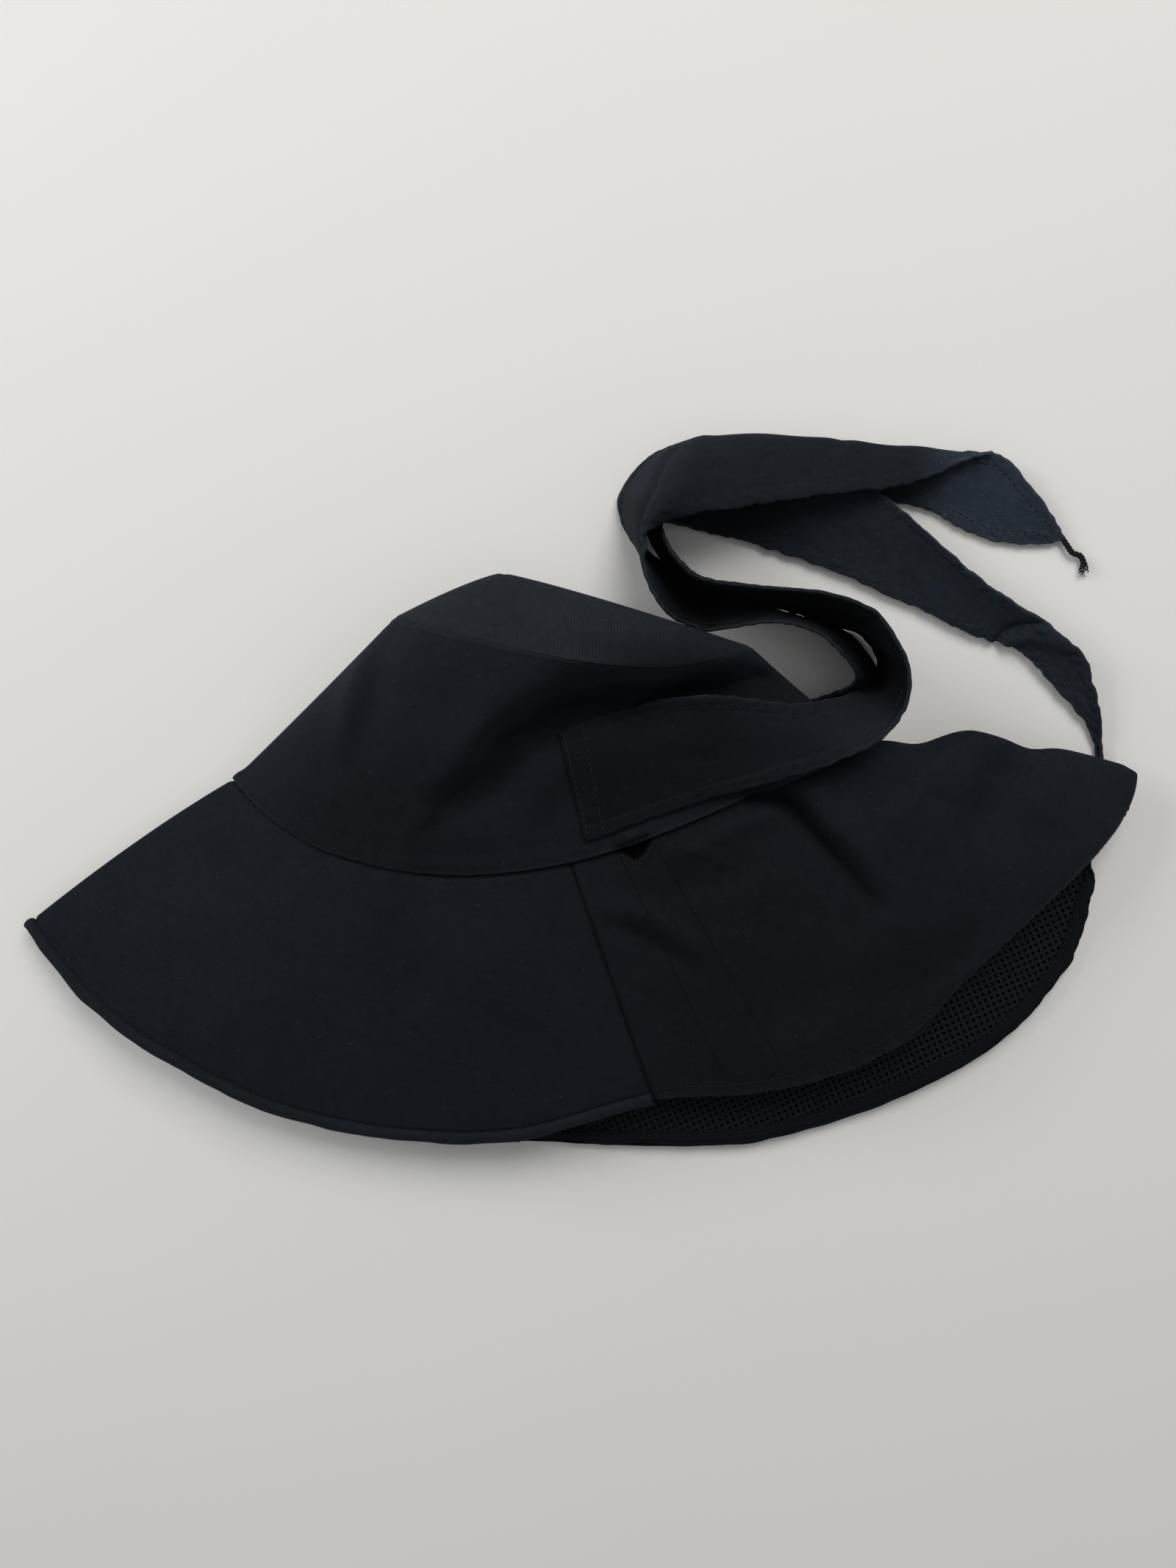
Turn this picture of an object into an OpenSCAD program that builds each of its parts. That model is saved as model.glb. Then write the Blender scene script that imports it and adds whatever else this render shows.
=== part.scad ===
// Soft cloth sun hat with two long ties, lying flat on its right side:
// front brim towards -X, top of the crown towards +Y, left side up.
// Every guide ring runs once round the hat: out along the upper layer from
// the centre front to the centre back, and home along the lower layer.

/* [Hat] */
// Length of the hat as it lies, front brim tip to back brim tip
hat_length = 460; // [440:1:480]
// Depth of the hat as it lies, hem to top of crown
hat_depth = 240; // [228:1:252]
// Height of the crown as it lies
crown_height = 72; // [66:1:78]

/* [Cloth] */
// Thickness of the outer cloth
cloth_t = 0.8; // [0.6:0.1:0.9]
// Thickness of the mesh lining
mesh_t = 0.6; // [0.4:0.1:0.7]
// Clear space between two layers of cloth
layer_gap = 0.3; // [0.3:0.05:0.4]

/* [Hems] */
// Outer radius of the rolled front hem
front_hem_r = 2; // [1.8:0.1:2]
// Radius of the turned back hem
back_hem_r = 1.7; // [1.4:0.1:1.9]
// Radius of the wire in the front hem
wire_r = 0.6; // [0.5:0.05:0.7]
// Width of the sweatband
sweatband_w = 28; // [22:1:32]

/* [Ties] */
// Thickness of a tie, two layers of cloth with the hems pressed
tie_t = 1.2; // [1:0.1:1.2]

/* [Hidden] */

cloth_colour = [0.10, 0.115, 0.135];
mesh_colour = [0.06, 0.07, 0.085];
thread_colour = [0.075, 0.085, 0.10];
wire_colour = [0.72, 0.74, 0.76];
label_colour = [0.16, 0.17, 0.18];

// Drawn sizes that the guide rings below are written for
drawn_length = 460;
drawn_depth = 240;
drawn_height = 72;
// Height of the lower layer, which doesn't change with the crown's height
low_z = 3;
// Height of the hem's centre line where the hem rests on the table
rest_z = 2;
// Height of the right tie's middle where it lies under the crown
tie_z = 0.6;
// Middle of the laid object, moved to the origin
middle = [-0.7, 1.8, 0];

// Seam between the crown's top panel and its side band
tip_ring = [
    [-72, 72, 36], [-62, 68, 50], [-46, 63, 60], [-25, 57, 67],
    [-2, 52, 71], [17, 50, 70], [34, 50, 66], [51, 54, 56],
    [66, 60, 38], [63, 61, 18], [47, 61, 6], [24, 62, 4],
    [0, 64, 4], [-25, 67, 4], [-48, 70, 4], [-66, 73, 14]
];
// Middle of the crown's side band
crown_ring = [
    [-110, 37, 24], [-99, 29, 39], [-77, 21, 49], [-45, 16, 55],
    [-8, 20, 55], [20, 26, 51], [46, 33, 48], [72, 40, 40],
    [91, 42, 22], [84, 38, 5], [60, 25, 3], [28, 16, 3],
    [-4, 13, 3], [-40, 14, 3], [-76, 20, 3], [-102, 31, 8]
];
// Seam between the crown and the brim, which sits on the head
head_ring = [
    [-143, 9, 9], [-125, -6, 20], [-95, -21, 30], [-50, -28, 37],
    [-4, -23, 40], [34, -11, 39], [68, 3, 35], [100, 15, 28],
    [117, 23, 15], [100, 5, 4], [68, -18, 3], [30, -32, 3],
    [-8, -39, 3], [-52, -38, 3], [-95, -28, 3], [-126, -10, 4]
];
// Outer edge of the brim
hem_ring = [
    [-230, -52, 7], [-203, -82, 13], [-168, -106, 16], [-128, -125, 17],
    [-82, -136, 17], [-28, -137, 18], [30, -122, 19], [76, -118, 20],
    [122, -103, 22], [157, -72, 23], [193, -39, 21], [222, -9, 17],
    [229, 13, 10], [212, -14, 4], [213, -42, rest_z], [200, -74, rest_z],
    [160, -111, rest_z], [75, -142, rest_z], [-25, -142, rest_z], [-75, -138, rest_z],
    [-122, -129, rest_z], [-160, -112, rest_z], [-192, -92, 2.3], [-217, -70, 3.5]
];

// Where the side seams of the brim lie, round the rings
left_seam = 0.25;
right_seam = 0.75;
// Height of the upper brim's swell between head seam and hem
brim_swell = 4;
// Small hump where the back brim is folded, and its half width on the rings
back_hump = [-14, 9, 8];
hump_w = 0.06;
// Curve of the front fold between head seam and tip
front_hump = [2, 4, 0];

// Left tie: the edge that stands up, and the edge that rests on the table.
// Both start at the stitched end on the crown and end under the back brim.
left_rim = [
    [2, -15, 43.5], [22, -8, 43], [46, 0, 42], [74, 8, 41], [97, 15, 42],
    [112, 22, 42], [122, 30, 42], [127, 41, 42], [127, 53, 41],
    [122, 64, 40], [116, 73, 39], [107, 78, 38], [93, 82, 38],
    [67, 84, 38], [48, 87, 38], [39, 94, 37], [34, 103, 31],
    [33, 111, 21], [36, 115, 11], [49, 113, 4], [71, 108, 3],
    [107, 96, 3], [135, 83, 3], [158, 72, 3], [172, 67, 3],
    [184, 63, 3], [195, 51, 3], [205, 40, 3], [213, 30, 2],
    [216, 19, 1], [216, 2, 1]
];
left_base = [
    [-8, 26, 59.5], [16, 35, 59], [36, 40, 57.5], [56, 40, 52], [77, 38, 43],
    [93, 39, 31], [108, 43, 19], [119, 49, 7], [125, 59, 1],
    [118, 70, 1], [109, 74, 1], [98, 77, 1], [88, 80, 1],
    [66, 86, 1], [50, 90, 1], [41, 97, 1], [32, 106, 1],
    [26, 119, 1], [26, 131, 2], [38, 140, 4], [66, 143, 7],
    [103, 134, 9], [126, 126, 10], [148, 106, 12], [163, 92, 13],
    [188, 75, 13], [207, 62, 10], [213, 50, 7], [217, 37, 5],
    [219, 20, 3], [219, 2, 3]
];
// Right tie: its two edges, and the line along its middle. It starts
// under the crown and ends in a pointed flap with a thread tail.
right_rim = [
    [-8, 26, tie_z], [20, 36, tie_z], [50, 40, tie_z], [84, 41, 2], [103, 44, 12],
    [110, 49, 26], [104, 57, 35], [93, 66, 38], [78, 70, 38],
    [60, 69, 32], [50, 68, 30], [37, 72, 34], [30, 79, 37],
    [26, 87, 38], [24, 97, 38], [25, 104, 37], [34, 111, 34],
    [50, 115, 28], [69, 119, 24], [98, 124, 20], [125, 128, 16],
    [145, 134, 13], [165, 143, 9], [176, 143, 7], [191, 127, 5],
    [200, 115, 3], [203, 111, 2]
];
right_middle = [
    [-3, 5, tie_z], [26, 14, tie_z], [58, 19, tie_z], [92, 25, 1], [112, 34, 5],
    [117, 50, 12], [110, 61, 18], [100, 70, 20], [84, 74, 20],
    [66, 77, 16], [54, 79, 15], [39, 83, 17], [31, 89, 19],
    [26, 97, 20], [23, 103, 20], [22, 111, 27], [29, 121, 34],
    [42, 138, 24], [58, 146, 18], [98, 149, 12], [127, 147, 9],
    [145, 146, 6], [162, 140, 4], [170, 128, 4], [184, 119, 4],
    [196, 112, 3], [202, 110, 2]
];
right_base = [
    [2, -17, tie_z], [34, -8, tie_z], [68, -2, tie_z], [103, 8, tie_z], [120, 24, tie_z],
    [125, 50, 1], [117, 66, 1], [106, 73, 1], [92, 77, 1],
    [76, 82, 1], [59, 88, 1], [41, 94, 1], [33, 100, 1],
    [27, 106, 1], [22, 110, 1], [17, 119, 1], [17, 130, 1],
    [31, 145, 1], [58, 149, 2], [98, 141, 4], [124, 128, 3],
    [143, 123, 2], [157, 116, 2], [170, 110, 2], [183, 108, 2],
    [196, 108, 2], [202, 109, 2]
];

// ---- Curves ----

// Point at u, 0 to 1, on a closed smooth curve through evenly spaced points
function ring_at(ring, u) =
    let (n = len(ring), t = (u - floor(u)) * n, i = floor(t), f = t - i,
         a = ring[(i + n - 1) % n], b = ring[i % n],
         c = ring[(i + 1) % n], d = ring[(i + 2) % n])
    smooth(a, b, c, d, f);

// Point at t, 0 to 1, on an open smooth curve
function line_at(line, t) =
    let (last = len(line) - 1, s = min(max(t, 0), 1) * last,
         i = min(floor(s), last - 1), f = s - i,
         b = line[i], c = line[i + 1],
         a = i > 0 ? line[i - 1] : 2 * b - c,
         d = i + 2 <= last ? line[i + 2] : 2 * c - b)
    smooth(a, b, c, d, f);

function smooth(a, b, c, d, f) =
    b + f / 2 * (c - a + f * (2 * a - 5 * b + 4 * c - d
        + f * (3 * b - a - 3 * c + d)));

// Curve through three values at t = 0, 0.5 and 1
function three(a, b, c, t) =
    a * (1 - t) * (1 - 2 * t) + b * 4 * t * (1 - t) + c * t * (2 * t - 1);

function bump(u, at, half) = max(0, 1 - pow((u - at) / half, 2));

function unit(v) = v / max(norm(v), 1e-9);

// ---- The hat's surface ----

// Drawn point to laid point, at the sizes asked for
function laid(p) = [
    (p.x - middle.x) * hat_length / drawn_length,
    (p.y - middle.y) * hat_depth / drawn_depth,
    p.z <= low_z ? p.z
        : low_z + (p.z - low_z) * (crown_height - low_z) / (drawn_height - low_z)
];

// Side band: v = 0 at the tip seam, 1 at the head seam
function band_at(u, v) =
    three(ring_at(tip_ring, u), ring_at(crown_ring, u), ring_at(head_ring, u), v);

// Brim: v = 0 at the head seam, 1 at the hem
function brim_at(u, v) =
    let (head = ring_at(head_ring, u), hem = ring_at(hem_ring, u),
         w = u - floor(u),
         rise = w < 0.5 ? brim_swell * sin(360 * w) : 0,
         mid = (head + hem) / 2 + [0, 0, rise]
             + back_hump * bump(w, 0.5, hump_w)
             + front_hump * bump(w < 0.5 ? w : w - 1, 0, hump_w))
    three(head, mid, hem, v);

// Crown top: r = 0 at its middle, 1 at the tip seam
tip_centre = [-28, 61, 34];
tip_swell = [-3, 29, -3];
// How that swell falls away from the middle to the seam
tip_power = 1.15;
function tip_at(u, r) =
    tip_centre + (ring_at(tip_ring, u) - tip_centre) * r
    + tip_swell * (1 - pow(r, tip_power));

function surface_at(kind, u, v) =
    laid(kind == "band" ? band_at(u, v)
        : kind == "brim" ? brim_at(u, v) : tip_at(u, v));

// Outward normal, from two short steps along the surface
step_u = 0.004;
step_v = 0.02;
function normal_at(kind, u, v) =
    let (across = surface_at(kind, u, v + step_v) - surface_at(kind, u, v - step_v),
         along = surface_at(kind, u + step_u, v) - surface_at(kind, u - step_u, v))
    unit(cross(across, along));

function layer_at(kind, u, v, off) =
    surface_at(kind, u, v) + off * normal_at(kind, u, v);

// ---- Solids from grids ----

// Closed shell between two grids of rows x cols points.
// wrap joins the last column to the first.
module shell(outer, inner, wrap = false) {
    rows = len(outer);
    cols = len(outer[0]);
    n = rows * cols;
    points = [for (grid = [outer, inner]) for (row = grid) each row];
    spans = wrap ? cols : cols - 1;
    skin = [
        for (r = [0 : rows - 2]) for (c = [0 : spans - 1])
            let (a = r * cols + c, b = r * cols + (c + 1) % cols,
                 d = a + cols, e = b + cols)
            each [[a, b, e], [a, e, d], [n + a, n + e, n + b], [n + a, n + d, n + e]]
    ];
    long_edges = [
        for (c = [0 : spans - 1])
            let (a = c, b = (c + 1) % cols,
                 d = (rows - 1) * cols + a, e = (rows - 1) * cols + b)
            each [[a, n + b, b], [a, n + a, n + b], [d, e, n + e], [d, n + e, n + d]]
    ];
    short_edges = wrap ? [] : [
        for (r = [0 : rows - 2])
            let (a = r * cols, d = a + cols, b = a + cols - 1, e = b + cols)
            each [[a, d, n + d], [a, n + d, n + a], [b, n + e, e], [b, n + b, n + e]]
    ];
    polyhedron(points, concat(skin, long_edges, short_edges), convexity = 8);
}

// Piece of cloth on the hat's surface, from u0 to u1 and v0 to v1,
// its two faces at the given distances out from the surface
module panel(kind, u0, u1, v0, v1, out, into, spans, rows, wrap = false) {
    last = wrap ? spans - 1 : spans;
    outer = [for (r = [0 : rows]) [for (c = [0 : last])
        layer_at(kind, u0 + (u1 - u0) * c / spans, v0 + (v1 - v0) * r / rows, out)]];
    inner = [for (r = [0 : rows]) [for (c = [0 : last])
        layer_at(kind, u0 + (u1 - u0) * c / spans, v0 + (v1 - v0) * r / rows, into)]];
    shell(outer, inner, wrap);
}

// Round cloth panel closed at its middle
module dome(edge, out, into, spans, rows) {
    ring_count = rows * spans;
    side_points = [for (off = [out, into]) each concat(
        [for (r = [1 : rows]) for (c = [0 : spans - 1])
            layer_at("tip", c / spans, edge * r / rows, off)],
        [laid(tip_centre + tip_swell) + [0, off, 0]])];
    m = ring_count + 1;
    faces = [
        for (c = [0 : spans - 1])
            let (d = (c + 1) % spans)
            each [[ring_count, d, c], [m + ring_count, m + c, m + d],
                  [ring_count - spans + c, ring_count - spans + d, m + ring_count - spans + d],
                  [ring_count - spans + c, m + ring_count - spans + d,
                   m + ring_count - spans + c]],
        for (r = [0 : rows - 2]) for (c = [0 : spans - 1])
            let (a = r * spans + c, b = r * spans + (c + 1) % spans,
                 d = a + spans, e = b + spans)
            each [[a, b, e], [a, e, d], [m + a, m + e, m + b], [m + a, m + d, m + e]]
    ];
    polyhedron(side_points, faces, convexity = 8);
}

// Round bar swept along a list of points, closed ends, or hollow ring
function frame_out(path, i) =
    let (n = len(path), dir = unit(path[min(i + 1, n - 1)] - path[max(i - 1, 0)]),
         side = unit(cross(dir, [0, 0, 1])))
    [side, cross(side, dir)];

module bar(path, r, sides) {
    n = len(path);
    points = [for (i = [0 : n - 1]) let (f = frame_out(path, i))
        for (k = [0 : sides - 1])
            path[i] + r * (f[0] * cos(360 * k / sides) + f[1] * sin(360 * k / sides))];
    walls = [for (i = [0 : n - 2]) for (k = [0 : sides - 1])
        let (a = i * sides + k, b = i * sides + (k + 1) % sides)
        each [[a, b, b + sides], [a, b + sides, a + sides]]];
    near_cap = [for (k = [1 : sides - 2]) [0, k + 1, k]];
    far = (n - 1) * sides;
    far_cap = [for (k = [1 : sides - 2]) [far, far + k, far + k + 1]];
    polyhedron(points, concat(walls, near_cap, far_cap), convexity = 8);
}

// Hollow tube along a list of points
module sleeve(path, r_out, r_in, sides) {
    n = len(path);
    outer = [for (k = [0 : sides - 1]) [for (i = [0 : n - 1])
        let (f = frame_out(path, i))
        path[i] + r_out * (f[0] * cos(360 * k / sides) + f[1] * sin(360 * k / sides))]];
    inner = [for (k = [0 : sides - 1]) [for (i = [0 : n - 1])
        let (f = frame_out(path, i))
        path[i] + r_in * (f[0] * cos(360 * k / sides) + f[1] * sin(360 * k / sides))]];
    m = n * sides;
    points = concat([for (row = outer) each row], [for (row = inner) each row]);
    faces = [
        for (k = [0 : sides - 1]) for (i = [0 : n - 2])
            let (a = k * n + i, b = ((k + 1) % sides) * n + i)
            each [[a, b + 1, b], [a, a + 1, b + 1],
                  [m + a, m + b, m + b + 1], [m + a, m + b + 1, m + a + 1]],
        for (k = [0 : sides - 1])
            let (a = k * n, b = ((k + 1) % sides) * n, c = a + n - 1, d = b + n - 1)
            each [[a, b, m + b], [a, m + b, m + a], [c, m + d, d], [c, m + c, m + d]]
    ];
    polyhedron(points, faces, convexity = 8);
}

// Flat strip through rows of points that run along it
module strip(lines, spans, thick) {
    rows = len(lines);
    mid = [for (r = [0 : rows - 1]) [for (c = [0 : spans]) laid(line_at(lines[r], c / spans))]];
    function tilt(r, c) =
        let (r0 = max(r - 1, 0), r1 = min(r + 1, rows - 1),
             c0 = max(c - 1, 0), c1 = min(c + 1, spans))
        unit(cross(mid[r1][c] - mid[r0][c], mid[r][c1] - mid[r][c0]));
    outer = [for (r = [0 : rows - 1]) [for (c = [0 : spans])
        mid[r][c] + thick / 2 * tilt(r, c)]];
    inner = [for (r = [0 : rows - 1]) [for (c = [0 : spans])
        mid[r][c] - thick / 2 * tilt(r, c)]];
    shell(outer, inner);
}

function halfway(a, b) = [for (i = [0 : len(a) - 1]) (a[i] + b[i]) / 2];

// Distances of the layers from the surface, outside to inside
outer_face = cloth_t / 2;
cloth_back = -cloth_t / 2;
lining_face = cloth_back - layer_gap;
lining_back = lining_face - mesh_t;
band_face = lining_back - layer_gap;
band_back = band_face - cloth_t;
// Small clearance that panels leave at their seams, on the 0 to 1 scales
seam_v = 0.012;
seam_u = 0.0015;
// The sweatband and the side band's height, as a share of the band
band_depth = 95;

// ---- Crown ----

module crown_tip() {
    color(cloth_colour) dome(0.985, outer_face, cloth_back, 36, 6);
}

module side_band() {
    color(cloth_colour)
        panel("band", 0, 1, seam_v, 1 - seam_v, outer_face, cloth_back, 48, 8, true);
}

module tip_lining() {
    color(mesh_colour) dome(0.95, lining_face, lining_back, 32, 5);
}

module band_mesh_lining() {
    color(mesh_colour)
        panel("band", 0, 1, 0.06, 0.96, lining_face, lining_back, 40, 5, true);
}

module sweatband() {
    color(cloth_colour)
        panel("band", 0, 1, 1 - sweatband_w / band_depth, 0.96,
            band_face, band_back, 40, 2, true);
}

module back_elastic() {
    elastic_face = band_back - layer_gap;
    color(thread_colour)
        panel("band", 0.38, 0.47, 0.80, 0.93, elastic_face, elastic_face - cloth_t, 8, 1);
}

module care_label() {
    label_face = band_back - layer_gap;
    color(label_colour)
        panel("band", 0.56, 0.60, 0.72, 0.90, label_face, label_face - 0.4, 4, 2);
}

// ---- Brim ----

module front_brim() {
    color(cloth_colour)
        panel("brim", right_seam - 1 + seam_u, left_seam - seam_u, seam_v, 0.975,
            outer_face, cloth_back, 28, 6);
}

module back_brim() {
    color(cloth_colour)
        panel("brim", left_seam + seam_u, right_seam - seam_u, seam_v, 0.98,
            outer_face, cloth_back, 28, 6);
}

module front_brim_lining() {
    color(cloth_colour)
        panel("brim", right_seam - 1 + seam_u, left_seam - seam_u, 0.03, 0.965,
            lining_face, lining_back, 26, 5);
}

module back_brim_mesh_lining() {
    color(mesh_colour)
        panel("brim", left_seam + seam_u, right_seam - seam_u, 0.03, 0.965,
            lining_face, lining_back, 26, 5);
}

function hem_path(u0, u1, spans) =
    [for (c = [0 : spans]) surface_at("brim", u0 + (u1 - u0) * c / spans, 1)];

module front_hem() {
    color(cloth_colour)
        sleeve(hem_path(right_seam - 1 + seam_u, left_seam - seam_u, 60),
            front_hem_r, wire_r + 0.2, 8);
}

module brim_wire() {
    color(wire_colour)
        bar(hem_path(right_seam - 1 + seam_u, left_seam - seam_u, 60), wire_r, 6);
}

module back_hem() {
    color(cloth_colour)
        bar(hem_path(left_seam + seam_u, right_seam - seam_u, 64), back_hem_r, 8);
}

// Seam of the brim's two panels, a folded ridge of cloth
module side_seam(at) {
    path = [for (c = [0 : 16]) layer_at("brim", at, 0.03 + 0.92 * c / 16, -0.1)];
    bar(path, 0.45, 6);
}

module left_side_seam() {
    color(cloth_colour) side_seam(left_seam);
}

module right_side_seam() {
    color(cloth_colour) side_seam(right_seam);
}

// Bound edges of the short slit in the head seam behind the left side seam
module slit_binding() {
    slit_start = 0.288;
    slit_end = 0.312;
    color(thread_colour)
        for (v = [0.03, 0.14])
            bar([for (c = [0 : 8])
                layer_at("brim", slit_start + (slit_end - slit_start) * c / 8,
                    v, outer_face + 0.5)], 0.5, 6);
}

// ---- Ties ----

module left_tie() {
    color(cloth_colour)
        strip([left_rim, halfway(left_rim, left_base), left_base], 90, tie_t);
}

module right_tie() {
    color(cloth_colour) strip([right_rim, right_middle, right_base], 80, tie_t);
}

// Loose twisted end of the hem thread at the right tie's point
module right_tie_tail() {
    color(thread_colour)
        bar([for (p = [[203, 110, 2.4], [206, 105, 2.2], [209, 101, 1.8],
            [211, 97, 1.4], [212, 93, 1.2]]) laid(p)], 1, 6);
}

// Cross stitches that hold a tie's end, on a line a to b, lifted by up
module cross_stitches(a, b, up, count) {
    along = unit(b - a);
    across = unit(cross([0, 0, 1], along));
    stitch_l = 3;
    for (i = [0 : count - 1], way = [-1, 1]) {
        at = laid(a + (b - a) * (i + 0.5) / count) + [0, 0, up];
        half = stitch_l / 2 * (along + way * across);
        bar([at - half, at, at + half], 0.35, 6);
    }
}

module left_tie_stitches() {
    color(thread_colour)
        cross_stitches(left_rim[0] + [3, 2, 0], left_base[0] + [3, -2, 0], 1.1, 6);
}

module right_tie_stitches() {
    color(thread_colour)
        cross_stitches(right_base[0] + [3, 2, 0.9], right_rim[0] + [3, -2, 0.9], 0, 6);
}

// ---- Threads ----

module tip_topstitch() {
    color(thread_colour)
        bar([for (c = [0 : 70]) layer_at("band", c / 70.6, 0.03, outer_face + 0.2)], 0.3, 6);
}

module front_hem_topstitch() {
    color(thread_colour)
        bar([for (c = [0 : 70])
            layer_at("brim", right_seam - 0.998 + (left_seam - right_seam + 0.996) * c / 70,
                0.945, outer_face + 0.2)], 0.3, 6);
}

module back_hem_topstitch() {
    color(thread_colour)
        bar([for (c = [0 : 70])
            layer_at("brim", left_seam + 0.002 + (right_seam - left_seam - 0.004) * c / 70,
                0.95, outer_face + 0.2)], 0.3, 6);
}

crown_tip();
side_band();
front_brim();
back_brim();
tip_lining();
band_mesh_lining();
front_brim_lining();
back_brim_mesh_lining();
sweatband();
back_elastic();
care_label();
front_hem();
brim_wire();
back_hem();
left_tie();
right_tie();
left_tie_stitches();
right_tie_stitches();
right_tie_tail();
tip_topstitch();
front_hem_topstitch();
back_hem_topstitch();
left_side_seam();
right_side_seam();
slit_binding();
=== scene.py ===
import math

import bpy
import numpy as np
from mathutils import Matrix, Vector
from mathutils.bvhtree import BVHTree


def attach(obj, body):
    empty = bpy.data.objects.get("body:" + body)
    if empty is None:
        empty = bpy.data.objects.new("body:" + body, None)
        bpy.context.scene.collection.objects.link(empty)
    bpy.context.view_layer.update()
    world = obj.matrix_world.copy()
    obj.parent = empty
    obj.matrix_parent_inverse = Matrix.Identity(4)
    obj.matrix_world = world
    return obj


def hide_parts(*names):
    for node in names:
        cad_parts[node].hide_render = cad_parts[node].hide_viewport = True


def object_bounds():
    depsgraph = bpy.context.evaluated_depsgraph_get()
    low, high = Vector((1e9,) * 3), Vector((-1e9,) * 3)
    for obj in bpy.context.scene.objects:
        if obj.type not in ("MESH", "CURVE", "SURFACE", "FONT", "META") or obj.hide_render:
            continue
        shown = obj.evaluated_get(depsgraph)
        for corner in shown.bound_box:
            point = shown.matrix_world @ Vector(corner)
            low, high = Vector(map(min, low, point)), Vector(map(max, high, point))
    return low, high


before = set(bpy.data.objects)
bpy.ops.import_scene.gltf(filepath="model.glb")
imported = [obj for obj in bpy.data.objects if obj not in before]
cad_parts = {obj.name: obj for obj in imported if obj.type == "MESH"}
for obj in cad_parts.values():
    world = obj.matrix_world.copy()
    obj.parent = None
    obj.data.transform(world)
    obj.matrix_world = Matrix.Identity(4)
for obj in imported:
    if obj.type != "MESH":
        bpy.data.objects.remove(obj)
cadLow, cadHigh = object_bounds()
print("frame loaded, box", [round(c, 4) for c in cadHigh - cadLow])

mm = 0.001
restZ = 0.04  # lowest a piece may lie, in millimetres
middle = np.array([-0.7, 1.8, 0.0])  # middle of the drawn hat, which sits at the frame's origin

# looking straight down from about arm's length
cameraSetup = {"aim": (3.7 * mm, 5.2 * mm), "height": 0.498, "seen": 0.661, "sensor": 36.0}
cameraData = bpy.data.cameras.new("overhead")
cameraData.sensor_fit = "VERTICAL"
cameraData.sensor_height = cameraSetup["sensor"]
cameraData.lens = cameraSetup["sensor"] * cameraSetup["height"] / cameraSetup["seen"]
camera = bpy.data.objects.new("overhead", cameraData)
camera.location = (*cameraSetup["aim"], cameraSetup["height"])
bpy.context.scene.collection.objects.link(camera)
bpy.context.scene.camera = camera


class Link:  # a socket that can be used in sums
    def __init__(self, shader, socket):
        self.shader, self.socket = shader, socket

    def sum(self, operation, a, b):
        return self.shader.add("ShaderNodeMath", {"operation": operation}, {0: a, 1: b})

    def __add__(self, other):
        return self.sum("ADD", self, other)

    def __radd__(self, other):
        return self.sum("ADD", other, self)

    def __sub__(self, other):
        return self.sum("SUBTRACT", self, other)

    def __rsub__(self, other):
        return self.sum("SUBTRACT", other, self)

    def __mul__(self, other):
        return self.sum("MULTIPLY", self, other)

    def __rmul__(self, other):
        return self.sum("MULTIPLY", other, self)

    def __gt__(self, other):
        return self.sum("GREATER_THAN", self, other)


class Shader:  # writes one material's nodes
    def __init__(self, name):
        self.material = bpy.data.materials.new(name)
        self.material.use_nodes = True
        self.tree = self.material.node_tree
        self.tree.nodes.clear()

    def add(self, kind, settings=None, sockets=None, out=0):
        node = self.tree.nodes.new(kind)
        for key, value in (settings or {}).items():
            setattr(node, key, value)
        for key, value in (sockets or {}).items():
            if isinstance(value, Link):
                self.tree.links.new(value.socket, node.inputs[key])
            else:
                node.inputs[key].default_value = value
        return Link(self, node.outputs[out]) if node.outputs else None

    def attribute(self, name, out="Vector"):
        return self.add("ShaderNodeAttribute", {"attribute_name": name}, out=out)

    def mix(self, factor, a, b, blend="MIX"):
        return self.add("ShaderNodeMix", {"data_type": "RGBA", "blend_type": blend},
                        {0: factor, 6: a, 7: b}, out=2)

    def noise(self, vector, scale, detail=3.0, roughness=0.5):
        return self.add("ShaderNodeTexNoise", {},
                        {"Vector": vector, "Scale": scale, "Detail": detail, "Roughness": roughness})

    def wave(self, value, pitch):  # smooth ridges, 0 to 1, one every pitch
        turned = value * (2 * math.pi / pitch)
        return self.add("ShaderNodeMath", {"operation": "SINE"}, {0: turned}) * 0.5 + 0.5

    def finish(self, shader):
        self.add("ShaderNodeOutputMaterial", {}, {"Surface": shader})
        return self.material


def rgb(r, g, b):
    return (r, g, b, 1.0)


# twill and yarn are spacings in millimetres, bump a height in metres
clothLook = {
    "dark": rgb(0.0026, 0.0042, 0.0068), "light": rgb(0.0112, 0.0148, 0.0198),
    "worn": rgb(0.030, 0.035, 0.042), "lint": rgb(0.075, 0.08, 0.088),
    "twill": 0.95, "yarn": 0.52, "roughness": 0.84, "bump": 0.00026,
    "sheen": 0.03, "sheenTint": rgb(0.62, 0.72, 0.88), "specular": 0.10, "deepest": 0.72,
}


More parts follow.
